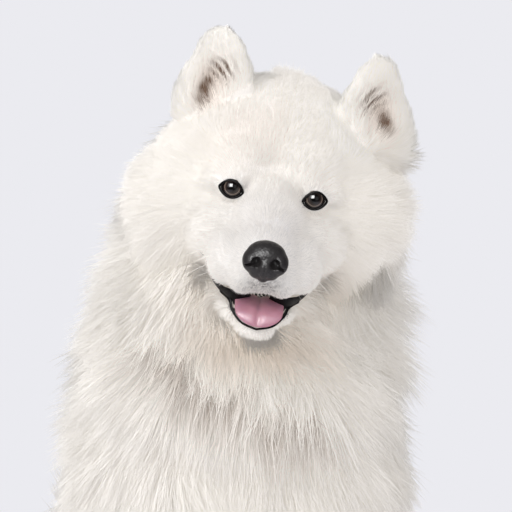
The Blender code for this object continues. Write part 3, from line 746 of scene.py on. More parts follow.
# The eye's colours outwards from its axis, at shares of its radius.
EYE_RINGS = (
    (0.0, "#070505"),
    (0.36, "#0C0909"),
    (0.44, "#211A18"),
    (0.58, "#332A27"),
    # a light ring at the iris's rim: partly its own colour, partly a painted reflection
    (0.65, "#7C6D62"),
    (0.70, "#1A1413"),
    (0.84, "#1C1716"),
)
for word, side in SIDES:
    centre = HEAD @ Vector((side * EYE_APART / 2, EYE_SINK, 0))
    bm = bmesh.new()
    bmesh.ops.create_uvsphere(bm, u_segments=64, v_segments=40, radius=EYE_RADIUS)
    for vertex in bm.verts:  # the cornea bulges a little ahead of the ball
        ahead = max(0.0, -vertex.co.y / EYE_RADIUS - CORNEA_EDGE) / CORNEA_DEPTH
        vertex.co.y -= CORNEA_BULGE * ahead * ahead * (3 - 2 * ahead)
    mesh = bpy.data.meshes.new("eyeball")
    bm.to_mesh(mesh)
    bm.free()
    mesh.transform(Matrix.Translation(centre) @ GAZE.to_4x4())
    mesh.shade_smooth()
    eyeball = linked(f"eyeball_{word}", mesh)
    mesh.materials.append(round_material(f"eye_glass_{word}", centre, EYE_RINGS, 0.25))
    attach(eyeball, "root")
    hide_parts(f"eye_{word}")


# Lids: black, bare rims that hug the eyeballs, almond shaped and drawn up at the outer
# corner, with the short white hair of the lids growing right up to them.

LID_HALF_WIDTH = 9.3 * MM
LID_UPPER, LID_LOWER = 8.4 * MM, 6.8 * MM
LID_SHIFT = 0.7 * MM  # the opening's middle lies this far outside the ball's
LID_SLANT = math.radians(4)
LID_CURVE = (12.6 * MM, 12 * MM)  # where the lids' surface turns edge on, across and up


def on_eye(side, across, up, proud):
    """Points in front of an eye, so far off its middle and so far proud of its ball."""
    ball = EYE_RADIUS + proud
    inside = 1 - (across / LID_CURVE[0]) ** 2 - (up / LID_CURVE[1]) ** 2
    depth = ball * np.sqrt(np.maximum(inside, 0.05))
    return np.stack((side * (EYE_APART / 2 + across), EYE_SINK - depth, up), axis=-1)


def almond(turn, grow=0.0):
    """The lids' opening as distances outwards and up from the eye's middle."""
    c, s = np.cos(turn), np.sin(turn)
    across = (LID_HALF_WIDTH + grow) * c + LID_SHIFT
    up = np.where(s > 0, LID_UPPER + grow, LID_LOWER + grow) * s * np.abs(s) ** 0.25
    across = across - 0.8 * MM * np.maximum(-c, 0) ** 6 + 1.0 * MM * np.maximum(c, 0) ** 8
    up = up - 1.2 * MM * np.maximum(-c, 0) ** 8 + across * math.sin(LID_SLANT)
    return across, up


def swept(name, path, wide, thick, out, material, looped=False, sides=10):
    """A flattened cord of flesh along a path, in the head's frame, as a finished piece."""
    ahead = np.roll(path, -1, axis=0) if looped else np.gradient(path, axis=0)
    along = unit(ahead - np.roll(path, 1, axis=0)) if looped else unit(ahead)
    across = unit(np.cross(along, out))
    up = np.cross(across, along)
    turn = 2 * np.pi * np.arange(sides) / sides
    wide, thick = (np.broadcast_to(w, len(path))[:, None, None] for w in (wide, thick))
    ring = across[:, None] * np.cos(turn)[None, :, None] * wide
    ring = ring + up[:, None] * np.sin(turn)[None, :, None] * thick
    points = (path[:, None] + ring).reshape(-1, 3)
    if not looped:
        points = np.vstack((points, path[0], path[-1]))
    made = mesh_object(name, points, tube_faces(len(path), sides, looped))
    made.data.transform(HEAD)
    made.data.materials.append(material)
    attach(made, "root")
    return made


# Bare black skin, as on a dog's lids and lips: fine pores, slightly moist.
black_skin, tree, shader = new_material(
    "moist_black_skin", "#0D0A0B", 0.45, Specular_IOR_Level=0.12
)
pores = object_noise(tree, 1400.0, 3.0)
add_bump(tree, shader, pores.outputs["Fac"], 0.5, 0.3 * MM)

turn = 2 * np.pi * np.arange(72) / 72
for word, side in SIDES:
    across, up = almond(turn)
    rim = on_eye(side, across, up, 0.3 * MM)
    out = unit(rim - np.array((side * EYE_APART / 2, EYE_SINK + 4 * MM, 0)))
    broad = (1.0 + 0.35 * np.abs(np.cos(turn)) ** 4) * MM
    swept(f"lid_{word}", rim, broad, 0.7 * MM, out, black_skin, looped=True)


# Nose: moist black leather in a rounded block, with a wing curled round each nostril and
# a groove down the middle.

NOSE_VOXEL = 0.8 * MM
NOSE_ASIDE = -2.2  # the muzzle leans a little to the dog's right, in millimetres
NOSE_FORMS = (
    (0, 86, -26.5, 16.5, 14, 12),  # the top
    (10.3, 89, -31, 8.8, 12, 10.5),  # the wings
    (0, 91.5, -34, 8, 11.5, 11),  # the front
    (5.5, 89.5, -37.5, 8, 10, 8.5),  # the sides below the nostrils
    (0, 90, -42, 5.5, 8, 6.5),  # the foot
)
nose_forms = [form for numbers in NOSE_FORMS for form in soft(*numbers)]
nose = melted(combine(nose_forms[0], "UNION", nose_forms[1:]), NOSE_VOXEL, 6)
carved = soft(7.8, 102, -29.5, 4.2, 11, 4.5)
for step in range(6):
    share = step / 5
    carved += soft(9 + 7 * share, 102 - 4 * share, -30.5 - 3.6 * share, 2.4, 8, 1.8 - 1.2 * share)
carved += soft(0, 103.5, -40, 0.7, 6, 12)
combine(nose, "DIFFERENCE", carved)
melted(nose, NOSE_VOXEL, 1)
nose.data.transform(Matrix.Translation((NOSE_ASIDE * MM, 0, 0)))
nose.name = nose.data.name = "nose_leather"
nose.data.transform(HEAD)
nose.data.shade_smooth()
# Nose leather: a pebbled skin of pads about a millimetre across.
# Its grey, lighter than the leather's bare black, is partly painted sheen.
leather, tree, shader = new_material(
    "pebbled_nose_leather", "#2C2929", 0.43, Specular_IOR_Level=0.3
)
place = add_node(tree, "ShaderNodeTexCoord")
pebbles = add_node(
    tree,
    "ShaderNodeTexVoronoi",
    {"Vector": place.outputs["Object"], "Scale": 650.0},
    feature="SMOOTH_F1",
)
add_bump(tree, shader, pebbles.outputs["Distance"], 0.8, 0.5 * MM, invert=True)
nose.data.materials.clear()
nose.data.materials.append(leather)
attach(nose, "root")
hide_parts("nose")


# Lips: bare black skin. A broad band shows at each corner, between the fur's edge above
# and the lower jaw's, and a thin rim runs on round the tongue.

# On the left half of the head, from the corner of the mouth forwards: the fur's edge, the
# lower jaw's edge, and the rim round the tongue.
UPPER_EDGE = (
    (49, 11, -60),
    (41.5, 28, -69),
    (33, 45, -72.5),
    (25, 59, -70),
    (17, 60, -69),
    (9, 54, -70),
)
LOWER_EDGE = (
    (48.5, 11, -62),
    (41.5, 25, -73.5),
    (33, 41, -78),
    (24.5, 52, -81),
    (18, 51, -84),
    (10, 44, -84),
)
LOWER_RIM = ((33, 41, -77), (25, 52.5, -80), (21.5, 58, -87), (13, 65.5, -94), (0, 69.5, -97))


def smooth_path(points, steps):
    """A smooth curve through points, with some steps between each two."""
    last = len(points) - 1
    return on_curve(np.array(points, float), np.linspace(0, last, last * steps + 1))


def mirrored_path(half):
    """The whole mouth's edge from its left half, in the head's frame."""
    path = smooth_path(half, 8) * np.array((1, -1, 1)) * MM
    return np.vstack((path, path[-2::-1] * np.array((-1, 1, 1))))


for word, side in SIDES:
    above = smooth_path(UPPER_EDGE, 8) * np.array((side, -1, 1)) * MM
    below = smooth_path(LOWER_EDGE, 8) * np.array((side, -1, 1)) * MM
    path = (above + below) / 2 + np.array((-side * 0.8, 0.8, 0)) * MM
    along = unit(np.gradient(path, axis=0))
    out = unit(np.cross(below - above, along)) * side
    broad = np.linalg.norm(below - above, axis=1) / 2 + np.linspace(0.3, 1.2, len(path)) * MM
    broad *= np.sqrt(np.clip(np.linspace(5, 0, len(path)), 0.05, 1))
    swept(f"lip_{word}", path, broad, 1.4 * MM, out, black_skin, sides=12)
path = mirrored_path(LOWER_RIM)
out = unit(path * np.array((1, 1, 0)) + np.array((0, 0.02, 0)))
middle = np.abs(np.linspace(-1, 1, len(path)))
broad = (0.9 + 1.3 * middle**2) * MM
swept("lip_lower", path, broad, 1.0 * MM, out, black_skin, sides=10)


# Tongue: soft pink flesh that hangs over the lower lip, grooved down its middle.

# The tongue's middle line from its root to its tip, in the head's frame, with its half
# breadth and half thickness there.
TONGUE = (
    (0, -22, -91, 16, 4),
    (0, -43, -80.3, 20, 4),
    (0, -57, -80.7, 20.5, 4),
    (0, -70, -84.5, 19.5, 3.8),
    (0, -77, -92.2, 13.5, 3.2),
)
GROOVE_DEPTH, GROOVE_WIDTH = 2.2 * MM, 2.4 * MM
rows = smooth_path(TONGUE, 12) * MM
shares = np.linspace(0, 1, len(rows))
end = np.minimum(np.minimum(shares / 0.15, (1 - shares) / 0.22), 1)
closing = np.sqrt(np.clip(1 - (1 - end) ** 2, 0.02, 1))
along = unit(np.gradient(rows[:, :3], axis=0))
across = np.tile((1.0, 0, 0), (len(rows), 1))
up = np.cross(along, across)
turn = 2 * np.pi * np.arange(48) / 48
flat = np.cos(turn)[None, :] * (rows[:, 3] * closing)[:, None]
rise = np.sin(turn)[None, :] * (rows[:, 4] * closing)[:, None]
groove = GROOVE_DEPTH * np.exp(-((flat / GROOVE_WIDTH) ** 2))
groove = groove * (np.sin(turn) > 0)[None, :] * closing[:, None]
curl = 1.6 * MM * (flat / (18 * MM)) ** 2
height = (rise - groove + curl)[..., None]
points = rows[:, None, :3] + across[:, None] * flat[..., None] + up[:, None] * height
points = np.vstack((points.reshape(-1, 3), rows[0, :3], rows[-1, :3]))
tongue = mesh_object("tongue_flesh", points, tube_faces(len(rows), 48))
tongue.data.transform(HEAD)
# Living tongue: wet pink muscle with a fine nap of papillae, drawn coarse enough to show.
flesh, tree, shader = new_material(
    "wet_tongue_flesh",
    "#C58B9B",
    0.45,
    Coat_Weight=0.06,
    Subsurface_Weight=0.15,
    Subsurface_Scale=0.004,
)
nap = object_noise(tree, 900.0, 3.0)
blush = object_noise(tree, 60.0, 2.0)
tint = add_node(
    tree,
    "ShaderNodeMix",
    {0: blush.outputs["Fac"], 6: linear("#AB7384"), 7: linear("#C48D9A")},
    data_type="RGBA",
)
tree.links.new(tint.outputs[2], shader.inputs["Base Color"])
add_bump(tree, shader, nap.outputs["Fac"], 0.5, 0.4 * MM)
tongue.data.materials.append(flesh)
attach(tongue, "root")
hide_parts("tongue")


# Coat: dense white hair in tufts that lie along the body. Each tuft is a thin, tapered
# solid of three sides that grows from the skin and leans on its neighbours in locks.

# Where the hair of the head grows: a place, its lie (to the left, forward, up), the length
# in millimetres and how far it lifts off the skin in degrees. The right side mirrors it.
FACE_HAIR = (
    ((35, 6, 12.5), (0.1, -0.3, 1), 6, 30),
    ((35, 6, -11.5), (0, -0.3, -1), 5, 28),
    ((23, 6, 2), (-0.4, -0.4, 0.5), 5, 26),
    ((48, 2, 3), (1, -0.3, 0.1), 4, 24),
    ((0, 78, -20), (0, -1, 0.25), 4, 30),
    ((12, 74, -26), (0.35, -1, 0.2), 4, 30),
    ((0, 60, -12), (0, -1, 0.25), 6, 30),
    ((0, 34, 2), (0, -0.9, 0.4), 8, 28),
    ((12, 34, -4), (0.3, -0.9, 0.3), 8, 28),
    ((0, 8, 12), (0, -0.5, 0.9), 9, 28),
    ((14, 6, 8), (0.2, -0.5, 0.9), 9, 28),
    ((0, -8, 38), (0, -0.35, 1), 13, 26),
    ((26, -8, 30), (0.35, -0.35, 1), 12, 26),
    ((42, -8, 18), (0.7, -0.5, 0.7), 10, 28),
    ((52, 0, 4), (0.9, -0.5, 0.2), 9, 28),
    ((50, 2, -8), (0.9, -0.5, -0.3), 9, 28),
    ((36, 8, -16), (0.6, -0.55, -0.6), 8, 28),
    ((20, 16, -12), (0.5, -0.85, -0.1), 7, 28),
    ((20, 24, -24), (0.5, -0.85, -0.2), 7, 28),
    ((22, 52, -34), (0.5, -0.85, -0.15), 6, 30),
    ((32, 30, -42), (0.55, -0.8, -0.3), 8, 28),
    ((22, 68, -44), (0.6, -0.6, -0.5), 5, 30),
    ((8, 84, -50), (0.4, -0.2, -0.9), 3, 30),
    ((24, 56, -62), (0.6, -0.5, -0.6), 6, 30),
    ((40, 26, -56), (0.75, -0.5, -0.45), 10, 28),
    ((50, 6, -36), (0.85, -0.45, -0.3), 14, 26),
    ((52, 4, -62), (0.7, -0.35, -0.7), 16, 26),
    ((0, 74, -104), (0, -0.1, -1), 6, 22),
    ((18, 56, -106), (0.4, -0.3, -0.9), 8, 22),
    ((34, 26, -96), (0.6, -0.5, -0.7), 13, 24),
)
CROWN_HAIR = (
    ((0, -24, 66), (0, -0.8, 0.6), 18, 22),
    ((34, -24, 60), (0.3, -0.8, 0.5), 18, 22),
    ((0, -60, 84), (0, -1, 0.1), 24, 24),
    ((40, -60, 78), (0.3, -0.9, 0.1), 24, 26),
    ((0, -110, 80), (0, -1, -0.35), 32, 26),
    ((50, -110, 66), (0.4, -0.9, -0.3), 34, 26),
    ((58, -46, 56), (0.4, -0.8, 0.4), 18, 24),
    ((88, -50, 38), (0.5, -0.8, 0.2), 16, 24),
    ((66, -88, 58), (0.3, -0.9, 0.0), 24, 26),
    ((0, -150, 30), (0, -0.4, -1), 48, 28),
    ((60, -140, 20), (0.4, -0.5, -0.8), 50, 28),
    ((0, -150, -40), (0, -0.2, -1), 60, 28),
)
CHEEK_HAIR = (
    ((66, -16, 14), (0.85, -0.5, 0.15), 18, 24),
    ((66, -12, -14), (0.9, -0.45, -0.15), 20, 24),
    ((62, -10, -44), (0.8, -0.4, -0.5), 24, 26),
    ((82, -40, 4), (0.75, -0.65, -0.05), 30, 28),
    ((84, -36, -34), (0.8, -0.5, -0.4), 36, 32),
    ((74, -30, -70), (0.6, -0.3, -0.8), 40, 34),
    ((96, -76, 0), (0.5, -0.8, -0.3), 42, 32),
    ((98, -76, -40), (0.55, -0.6, -0.6), 60, 34),
    ((76, -60, -84), (0.4, -0.3, -0.9), 70, 34),
    ((40, -20, -104), (0.35, -0.3, -0.9), 44, 28),
    ((0, 0, -112), (0, -0.4, -1), 36, 26),
    ((0, -40, -110), (0, -0.2, -1), 50, 28),
)
# How the hair of the body grows on each form: the length at the front and at the back,
# the lift, the pull of its weight, and a lie of its own where it leaves the form's line.
BODY_HAIR = {
    "neck": (62, 66, 42, 0.35, None),
    "chest": (62, 58, 34, 0.45, None),
    "rump": (50, 66, 32, 0.5, None),
    "tail": (84, 48, 32, 0.25, None),
    "thigh": (52, 60, 30, 0.4, (0.15, 0.45, -1)),
    "hind_foot": (12, 12, 18, 0.1, None),
    "foreleg": (16, 52, 24, 0.6, None),
    "ear": (10, 11, 18, 0.0, None),
}
REGIONS = ["face", "crown", "cheek_left", "cheek_right", "ear_left", "ear_right"]
REGIONS += ["neck", "chest", "rump", "tail", "thigh_left", "thigh_right"]
REGIONS += ["hind_foot_left", "hind_foot_right", "foreleg_left", "foreleg_right"]


def kind_of(region):
    """The region's name without its side."""
    return region.replace("_left", "").replace("_right", "")



guides = []  # place, lie, length, lift, region


def head_guides(rows, region, region_right):
    for place, lie, length, lift in rows:
        for side in (1, -1) if place[0] else (1,):
            spot = HEAD @ (Vector((place[0] * side, -place[1], place[2])) * MM)
            way = HEAD_TURNED.to_3x3() @ Vector((lie[0] * side, -lie[1], lie[2]))
            name = region if side > 0 else region_right
            guides.append((spot, way.normalized(), length, lift, REGIONS.index(name)))


head_guides(FACE_HAIR, "face", "face")
head_guides(CROWN_HAIR, "crown", "crown")
head_guides(CHEEK_HAIR, "cheek_left", "cheek_right")


def form_guides(form, region, hair, side, place=None, reverse=False, fill=UNDERCOAT, end=0.98):
    """Guides on a grid over a form, along it or in the hair's own lie, and drawn down."""
    front, back, lift, weight, own = hair
    shares, angles = np.meshgrid(np.linspace(0.02, end, 16), np.linspace(0, 2 * np.pi, 20, False))
    shares, angles = shares.ravel(), angles.ravel()
    spots = form.surface(shares, angles, fill)
    ahead = form.surface(np.minimum(shares + SLOPE_STEP, 1), angles, fill, domed=False)
    behind = form.surface(np.maximum(shares - SLOPE_STEP, 0), angles, fill, domed=False)
    ways = unit(ahead - behind) * (-1 if reverse else 1)
    if own is not None:
        ways = np.tile(unit(np.array((own[0] * side, own[1], own[2]))), (len(shares), 1))
    ways[:, 2] -= weight
    rear = (1 + np.sin(angles)) / 2
    for spot, way, share in zip(spots, unit(ways), rear):
        spot, way = Vector(spot), Vector(way)
        if place is not None:
            spot, way = place @ spot, place.to_3x3() @ way
        length = front + (back - front) * share
        guides.append((spot, way, length, lift, REGIONS.index(region)))


for region, form in forms.items():
    side = -1 if region.endswith("right") else 1
    form_guides(form, region, BODY_HAIR[kind_of(region)], side)
for word, side in SIDES:
    place = HEAD @ ear_place(side)
    form_guides(Form("ear", side), f"ear_{word}", BODY_HAIR["ear"], side, place, True, 0, 0.72)

# Inside each ear, short hair lies outwards and up.
for word, side in SIDES:
    place = HEAD @ ear_place(side)
    for across in (-14, 0, 14):
        for height in (-10, 5, 20, 35, 50):
            spot = place @ (Vector(((across + 2) * side, -8, height)) * MM)
            way = place.to_3x3() @ Vector((0.8 * side, -0.2, 0.6))
            guides.append((spot, way.normalized(), 12, 14, REGIONS.index(f"ear_{word}")))

tree_of_guides = KDTree(len(guides))
for index, guide in enumerate(guides):
    tree_of_guides.insert(guide[0], index)
tree_of_guides.balance()
guide_lies = np.array([guide[1] for guide in guides])
guide_numbers = np.array([guide[2:4] for guide in guides], float)
guide_regions = np.array([guide[4] for guide in guides])

NEIGHBOURS = 5
GUIDE_BLUR = 3 * MM  # keeps one guide very near a point from ruling it alone
found = [tree_of_guides.find_n(point, NEIGHBOURS) for point in skin_points]
nearest = np.array([[hit[1] for hit in hits] for hits in found])
distance = np.array([[hit[2] for hit in hits] for hits in found])
weights = 1 / (distance + GUIDE_BLUR) ** 2
weights /= weights.sum(axis=1, keepdims=True)
lies = (guide_lies[nearest] * weights[..., None]).sum(axis=1)
numbers = (guide_numbers[nearest] * weights[..., None]).sum(axis=1)
regions = guide_regions[nearest[:, 0]]

skin.data.calc_loop_triangles()
triangles = np.empty(len(skin.data.loop_triangles) * 3, int)
skin.data.loop_triangles.foreach_get("vertices", triangles)
triangles = triangles.reshape(-1, 3)
normals = corners(skin, "normal")
edges = np.vstack((triangles[:, :2], triangles[:, 1:], triangles[:, ::2]))


def smoothed(values, rounds):
    """Values on the skin's points, each drawn to the mean of its neighbours' some times."""
    count = np.bincount(edges.ravel(), minlength=len(values)).astype(float)[:, None]
    for _ in range(rounds):
        total = np.empty_like(values)
        for column in range(values.shape[1]):
            one = values[:, column]
            total[:, column] = np.bincount(edges[:, 0], one[edges[:, 1]], len(values))
            total[:, column] += np.bincount(edges[:, 1], one[edges[:, 0]], len(values))
        values = 0.5 * values + 0.5 * total / np.maximum(count, 1)
    return values


# Where the coat stands fuller or lies closer than elsewhere: a place in millimetres, its
# breadth, and the share by which the hair lifts more or less.
FULLNESS = (
    ((106, -260, 678), 45, 0.7),
    ((-72, -190, 692), 28, -0.6),
    ((104, -254, 640), 35, 0.3),
    ((112, -190, 562), 42, 0.6),
    ((123, -189, 502), 38, -0.6),
    ((130, -182, 470), 45, -0.6),
    ((-96, -124, 565), 50, -0.6),
    ((-112, -112, 482), 38, 0.9),
    ((-132, -55, 372), 85, -0.9),
)
RUFF_STEP = ((60, 0.45), (6, -0.75))  # fuller above the ruff's edge and closer below it
ruff = [((x, y, z + rise), 30, change) for x, y, z in RUFF_EDGE for rise, change in RUFF_STEP]
for place, breadth, change in (*FULLNESS, *ruff):
    offset = (skin_points - np.array(place) * MM) / (breadth * MM)
    numbers *= 1 + np.exp(-2 * (offset**2).sum(axis=1))[:, None] * change * np.array((0.5, 1.0))
lies = smoothed(lies, 14)
numbers = smoothed(numbers, 14)
lies = unit(lies - normals * (lies * normals).sum(axis=1, keepdims=True))


def drift(points, wave, seed):
    """A smooth random value at each point, about -1 to 1, that changes over one wave."""
    draw = np.random.default_rng(seed)
    ways = draw.normal(0, 1, (7, 3)) * 2 * np.pi / wave / math.sqrt(3)
    return np.sin(points @ ways.T + draw.uniform(0, 2 * np.pi, 7)).sum(axis=1) / 2.6


# In millimetres: the ruff's edge counts between these places across the chest, fading in and
# out so far, and only ahead of RUFF_FRONT. It is ragged by so much, in waves so long.
RUFF_RIGHT, RUFF_RIGHT_FADE = -112, 25
RUFF_LEFT, RUFF_LEFT_FADE = 70, 35
RUFF_FRONT = -110
RUFF_RAGGED, RUFF_WAVE = 11, 26


def over_ruff(points):
    """How far points lie above the ruff's ragged edge, in millimetres, and how much it counts."""
    edge = np.array(RUFF_EDGE, float)
    places = points / MM
    x = places[:, 0]
    above = places[:, 2] - np.interp(x, edge[:, 0], edge[:, 2])
    from_right = np.clip((x - RUFF_RIGHT) / RUFF_RIGHT_FADE, 0, 1)
    from_left = np.clip((RUFF_LEFT - x) / RUFF_LEFT_FADE, 0, 1)
    ragged = above + RUFF_RAGGED * drift(points, RUFF_WAVE * MM, 8)
    return ragged, from_right * from_left * (places[:, 1] < RUFF_FRONT)


LONG = 60  # hair of this length, in millimetres, strays, spreads and droops in full
FLOW_TURN = 0.42  # how far, in radians, long hair strays from its line in broad swirls
stray = FLOW_TURN * (drift(skin_points, 90 * MM, 5) + 0.6 * drift(skin_points, 40 * MM, 6))
stray *= np.clip(numbers[:, 0] / LONG, 0, 1)
lies = lies * np.cos(stray)[:, None] + np.cross(normals, lies) * np.sin(stray)[:, None]


# Half the breadth of the bare skin round an eye, and its reach up and down, in millimetres.
BARE_ACROSS, BARE_UP, BARE_DOWN = 10.0, 8.4, 7.2
# Where the black of the lips has no hair: so far to each side, and further at the front.
BARE_LIP, BARE_LIP_FRONT = 2.2, 1.5


def kept_bare(points, margin=0.0):
    """Whether points lie where no hair may be: over the eyes, nose leather, tongue and mouth."""
    places = on_head(points)
    x, y, z = np.abs(places[:, 0]), places[:, 1], places[:, 2]
    across, up = x - EYE_APART / 2 / MM, z
    up = up - across * math.sin(LID_SLANT)
    across = across - LID_SHIFT / MM
    reach = np.where(up > 0, BARE_UP, BARE_DOWN) - margin
    eyes = (across / (BARE_ACROSS - margin)) ** 2 + (up / reach) ** 2 < 1
    eyes &= (y > -14) & (y < 20)
    # Ellipsoids round the nose leather and the inside of the mouth.
    leather = (x / 18) ** 2 + ((y - 90) / 15) ** 2 + ((z + 32) / 17) ** 2 < 1
    mouth = (x / (24 - margin)) ** 2 + ((y - 36) / 50) ** 2 + ((z + 77) / (13 - margin)) ** 2 < 1
    away, along = from_path(np.stack((x, y, z), axis=1), LIP_LINE)
    lips = away < BARE_LIP + BARE_LIP_FRONT * along - margin / 2
    return eyes | leather | mouth | lips


SOLE_BARE = 2.5 * MM  # no hair grows on skin nearer the floor than this
bare = kept_bare(skin_points) | (skin_points[:, 2] < SOLE_BARE)

# For each kind of region: the count of tufts, the rings along a tuft, its width and the
# spacing of the locks in millimetres, and how far a lock draws its tufts together.
TUFTS = {
    "face": (42000, 1, 0.85, 6, 0.2),
    "crown": (34000, 1, 0.95, 9, 0.3),
    "cheek": (38000, 1, 1.05, 11, 0.28),
    "ear": (15000, 1, 0.8, 7, 0.25),
    "neck": (49000, 1, 1.25, 12, 0.28),
    "chest": (49000, 1, 1.35, 15, 0.32),
    "rump": (8000, 2, 2.2, 18, 0.5),
    "tail": (7000, 2, 1.9, 16, 0.5),
    "thigh": (5000, 2, 2.2, 15, 0.5),
    "hind_foot": (2500, 2, 1.5, 7, 0.3),
    "foreleg": (3500, 2, 1.6, 9, 0.35),
}
HAIR_RISE = 1.2 * MM  # hair stays this far above the floor
FLYAWAY = 0.04  # the share of tufts that stand off from their lock

# The skin's unwrap, for the bake. Each tuft gets a small patch of its own piece's map, at
# the place where its root lies in this one.
skin.select_set(True)
bpy.context.view_layer.objects.active = skin
skin.data.uv_layers.new(name="OFBake")
bpy.ops.object.mode_set(mode="EDIT")
bpy.ops.mesh.select_all(action="SELECT")
bpy.ops.uv.smart_project(angle_limit=math.radians(66), island_margin=0.002)
bpy.ops.object.mode_set(mode="OBJECT")
flat = np.empty(len(skin.data.loops) * 2)
skin.data.uv_layers["OFBake"].data.foreach_get("uv", flat)
loops = np.empty(len(skin.data.loop_triangles) * 3, int)
skin.data.calc_loop_triangles()
skin.data.loop_triangles.foreach_get("loops", loops)
unwrapped = flat.reshape(-1, 2)[loops].reshape(-1, 3, 2)

# Hair: white, with a soft sheen. White hairs pass light on to each other, and a faint warm
# glow stands for it.
hair, tree, shader = new_material(
    "white_samoyed_hair",
    "#F7F4ED",
    0.6,
    Specular_IOR_Level=0.1,
    Sheen_Weight=0.08,
    Emission_Color=linear("#F1E9DF"),
    Emission_Strength=0.22,
)
colour = add_node(tree, "ShaderNodeVertexColor", layer_name="markings")
tree.links.new(colour.outputs["Color"], shader.inputs["Base Color"])
# Ear hair: the same hair, but short and thin, so its glow takes the colour of the hair itself and
# the painted shade of the dark streaks stays dark.
ear_hair = hair.copy()
ear_hair.name = "white_samoyed_ear_hair"
tree = ear_hair.node_tree
colour, shader = tree.nodes[colour.name], tree.nodes[shader.name]
tree.links.new(colour.outputs["Color"], shader.inputs["Emission Color"])

BAKE_PATCH = 0.003  # the width of a tuft's patch, as a share of the unwrap's
corner_points = skin_points[triangles]
two_edges = corner_points[:, 1:] - corner_points[:, :1]
doubled_areas = np.linalg.norm(np.cross(two_edges[:, 0], two_edges[:, 1]), axis=1)
haired = ~bare[triangles].any(axis=1)
triangle_regions = regions[triangles[:, 0]]


def within(values, tri, shares):
    """Values of the skin's points at places inside triangles."""
    return (values[tri] * shares[..., None]).sum(axis=1)


def spread_roots(region, count, draw):
    """Random but even places on a region's skin: triangles, shares of corners, and the area."""
    chosen = np.flatnonzero(haired & (triangle_regions == REGIONS.index(region)))
    reach = np.cumsum(doubled_areas[chosen])
    pick = (np.arange(count) + draw.random(count)) / count * reach[-1]
    which = chosen[np.minimum(np.searchsorted(reach, pick), len(chosen) - 1)]
    a, b = draw.random(count), draw.random(count)
    a, b = np.where(a + b > 1, 1 - a, a), np.where(a + b > 1, 1 - b, b)
    return which, np.stack((1 - a - b, a, b), axis=1), reach[-1] / 2


def lengths_and_lifts(number, roots, draw):
    """Each tuft's length and its lift off the skin, and whether it flies away from its lock."""
    count = len(roots)
    length = number[:, 0] * MM * draw.uniform(0.6, 1.1, count)
    length = length * (1 + 0.2 * drift(roots, 40 * MM, 7))
    lift = np.radians(number[:, 1] * draw.uniform(0.6, 1.4, count))
    lift = lift * (1 + 0.3 * drift(roots, 45 * MM, 9))
    above, ends = over_ruff(roots)
    # Most hair above the ruff's edge stops there, and stands off a little nearest to it.
    over = (draw.random(count) < 0.8 * ends) & (above > -6) & (above < 80)
    stop = np.maximum(above + draw.uniform(-6, 18, count), 17) * MM / 0.85
    length = np.where(over, np.minimum(length, stop), length)
    lift = np.where(over & (above < 45), lift * 1.25, lift)
    flyaway = draw.random(count) < FLYAWAY
    return length, np.where(flyaway, lift * 1.5, lift), flyaway


def curved(roots, outs, lie, length, lift, shares):
    """Lines that leave the skin at a steep angle, then lie closer to it and droop."""

    def lifted(share):
        return lie * np.cos(lift * share)[:, None] + outs * np.sin(lift * share)[:, None]

    half = (length * 0.5)[:, None]
    start = roots - outs * np.minimum(0.08 * length, 1.0 * MM)[:, None]
    middle = start + lifted(1.3) * half
    droop = lifted(0.5)
    droop[:, 2] -= 0.25 * np.minimum(length / (LONG * MM), 1)
    tip = middle + unit(droop) * half
    t = shares[None, :, None]
    return start[:, None] * (1 - t) ** 2 + middle[:, None] * 2 * t * (1 - t) + tip[:, None] * t**2


def in_locks(line, roots, locks, pull, flyaway, shares, draw):
    """Lines drawn towards the nearest lock's line, most of all at their tips."""
    finder = KDTree(len(locks))
    for index in locks:
        finder.insert(roots[index], int(index))
    finder.balance()
    leader = np.array([finder.find(root)[1] for root in roots])
    strength = (pull * draw.uniform(0.5, 1.2, len(roots)))[:, None] * shares[None] ** 1.4
    strength = np.where(flyaway[:, None], strength * 0.3, strength)
    return line + (line[leader] - line) * strength[..., None]


def solid_points(line, outs, slim, spin, rings):
    """The points of three-sided solids round lines: their rings, then one tip each."""
    heading = unit(np.diff(line, axis=1))
    across = unit(np.cross(heading, outs[:, None]))
    rise = np.cross(across, heading)
    body_width = np.array(((0.9,), (0.85, 0.8))[rings - 1])
    points = np.empty((len(line), 3 * rings + 1, 3))
    for k in range(3):
        angle = spin + k * 2 * np.pi / 3
        edge = across * np.cos(angle)[:, None, None] + rise * np.sin(angle)[:, None, None]
        edge = edge * slim[:, None, None] * body_width[:, None]
        points[:, k : 3 * rings : 3] = line[:, :rings] + edge
    points[:, -1] = line[:, -1]
    return points


def solid_faces(rings):
    """The triangles of one such solid."""
    faces = []
    for ring in range(rings - 1):
        for k in range(3):
            n = (k + 1) % 3
            here, there = 3 * ring, 3 * ring + 3
            faces += [(here + n, here + k, there + k), (here + n, there + k, there + n)]
    faces += [(3 * rings - 3 + (k + 1) % 3, 3 * rings - 3 + k, 3 * rings) for k in range(3)]
    faces.append((0, 1, 2))
    return np.array(faces)


def tuft_colours(roots, shares, rings, draw):
    """The markings at each root, with painted shade: a little darker at the root than at the tip,
    and dark under the ruff.
    """
    shade = markings(roots)[:, None] * draw.uniform(0.97, 1.02, len(roots))[:, None, None]
    # Painted shade: each tuft is a little darker at its root, deep in the coat, than at its tip.
    tips = np.append(np.repeat(np.linspace(0.94, 1.0, rings), 3), 1.02)
    # Painted shade: the roots of hair that starts just under the ruff's edge turn dark.
    above, ends = over_ruff(roots)
    crease_shade = 0.9 * ends * np.exp(-(((above + 6) / 15) ** 2))
    rootward = np.append(np.repeat(1 - shares[:rings], 3), 0)
    shaded = (crease_shade[:, None] * rootward[None])[..., None]
    shade = shade * tips[None, :, None]
    return shade + (np.array(linear(RUFF_ROOT_SHADE)[:3]) - shade) * shaded


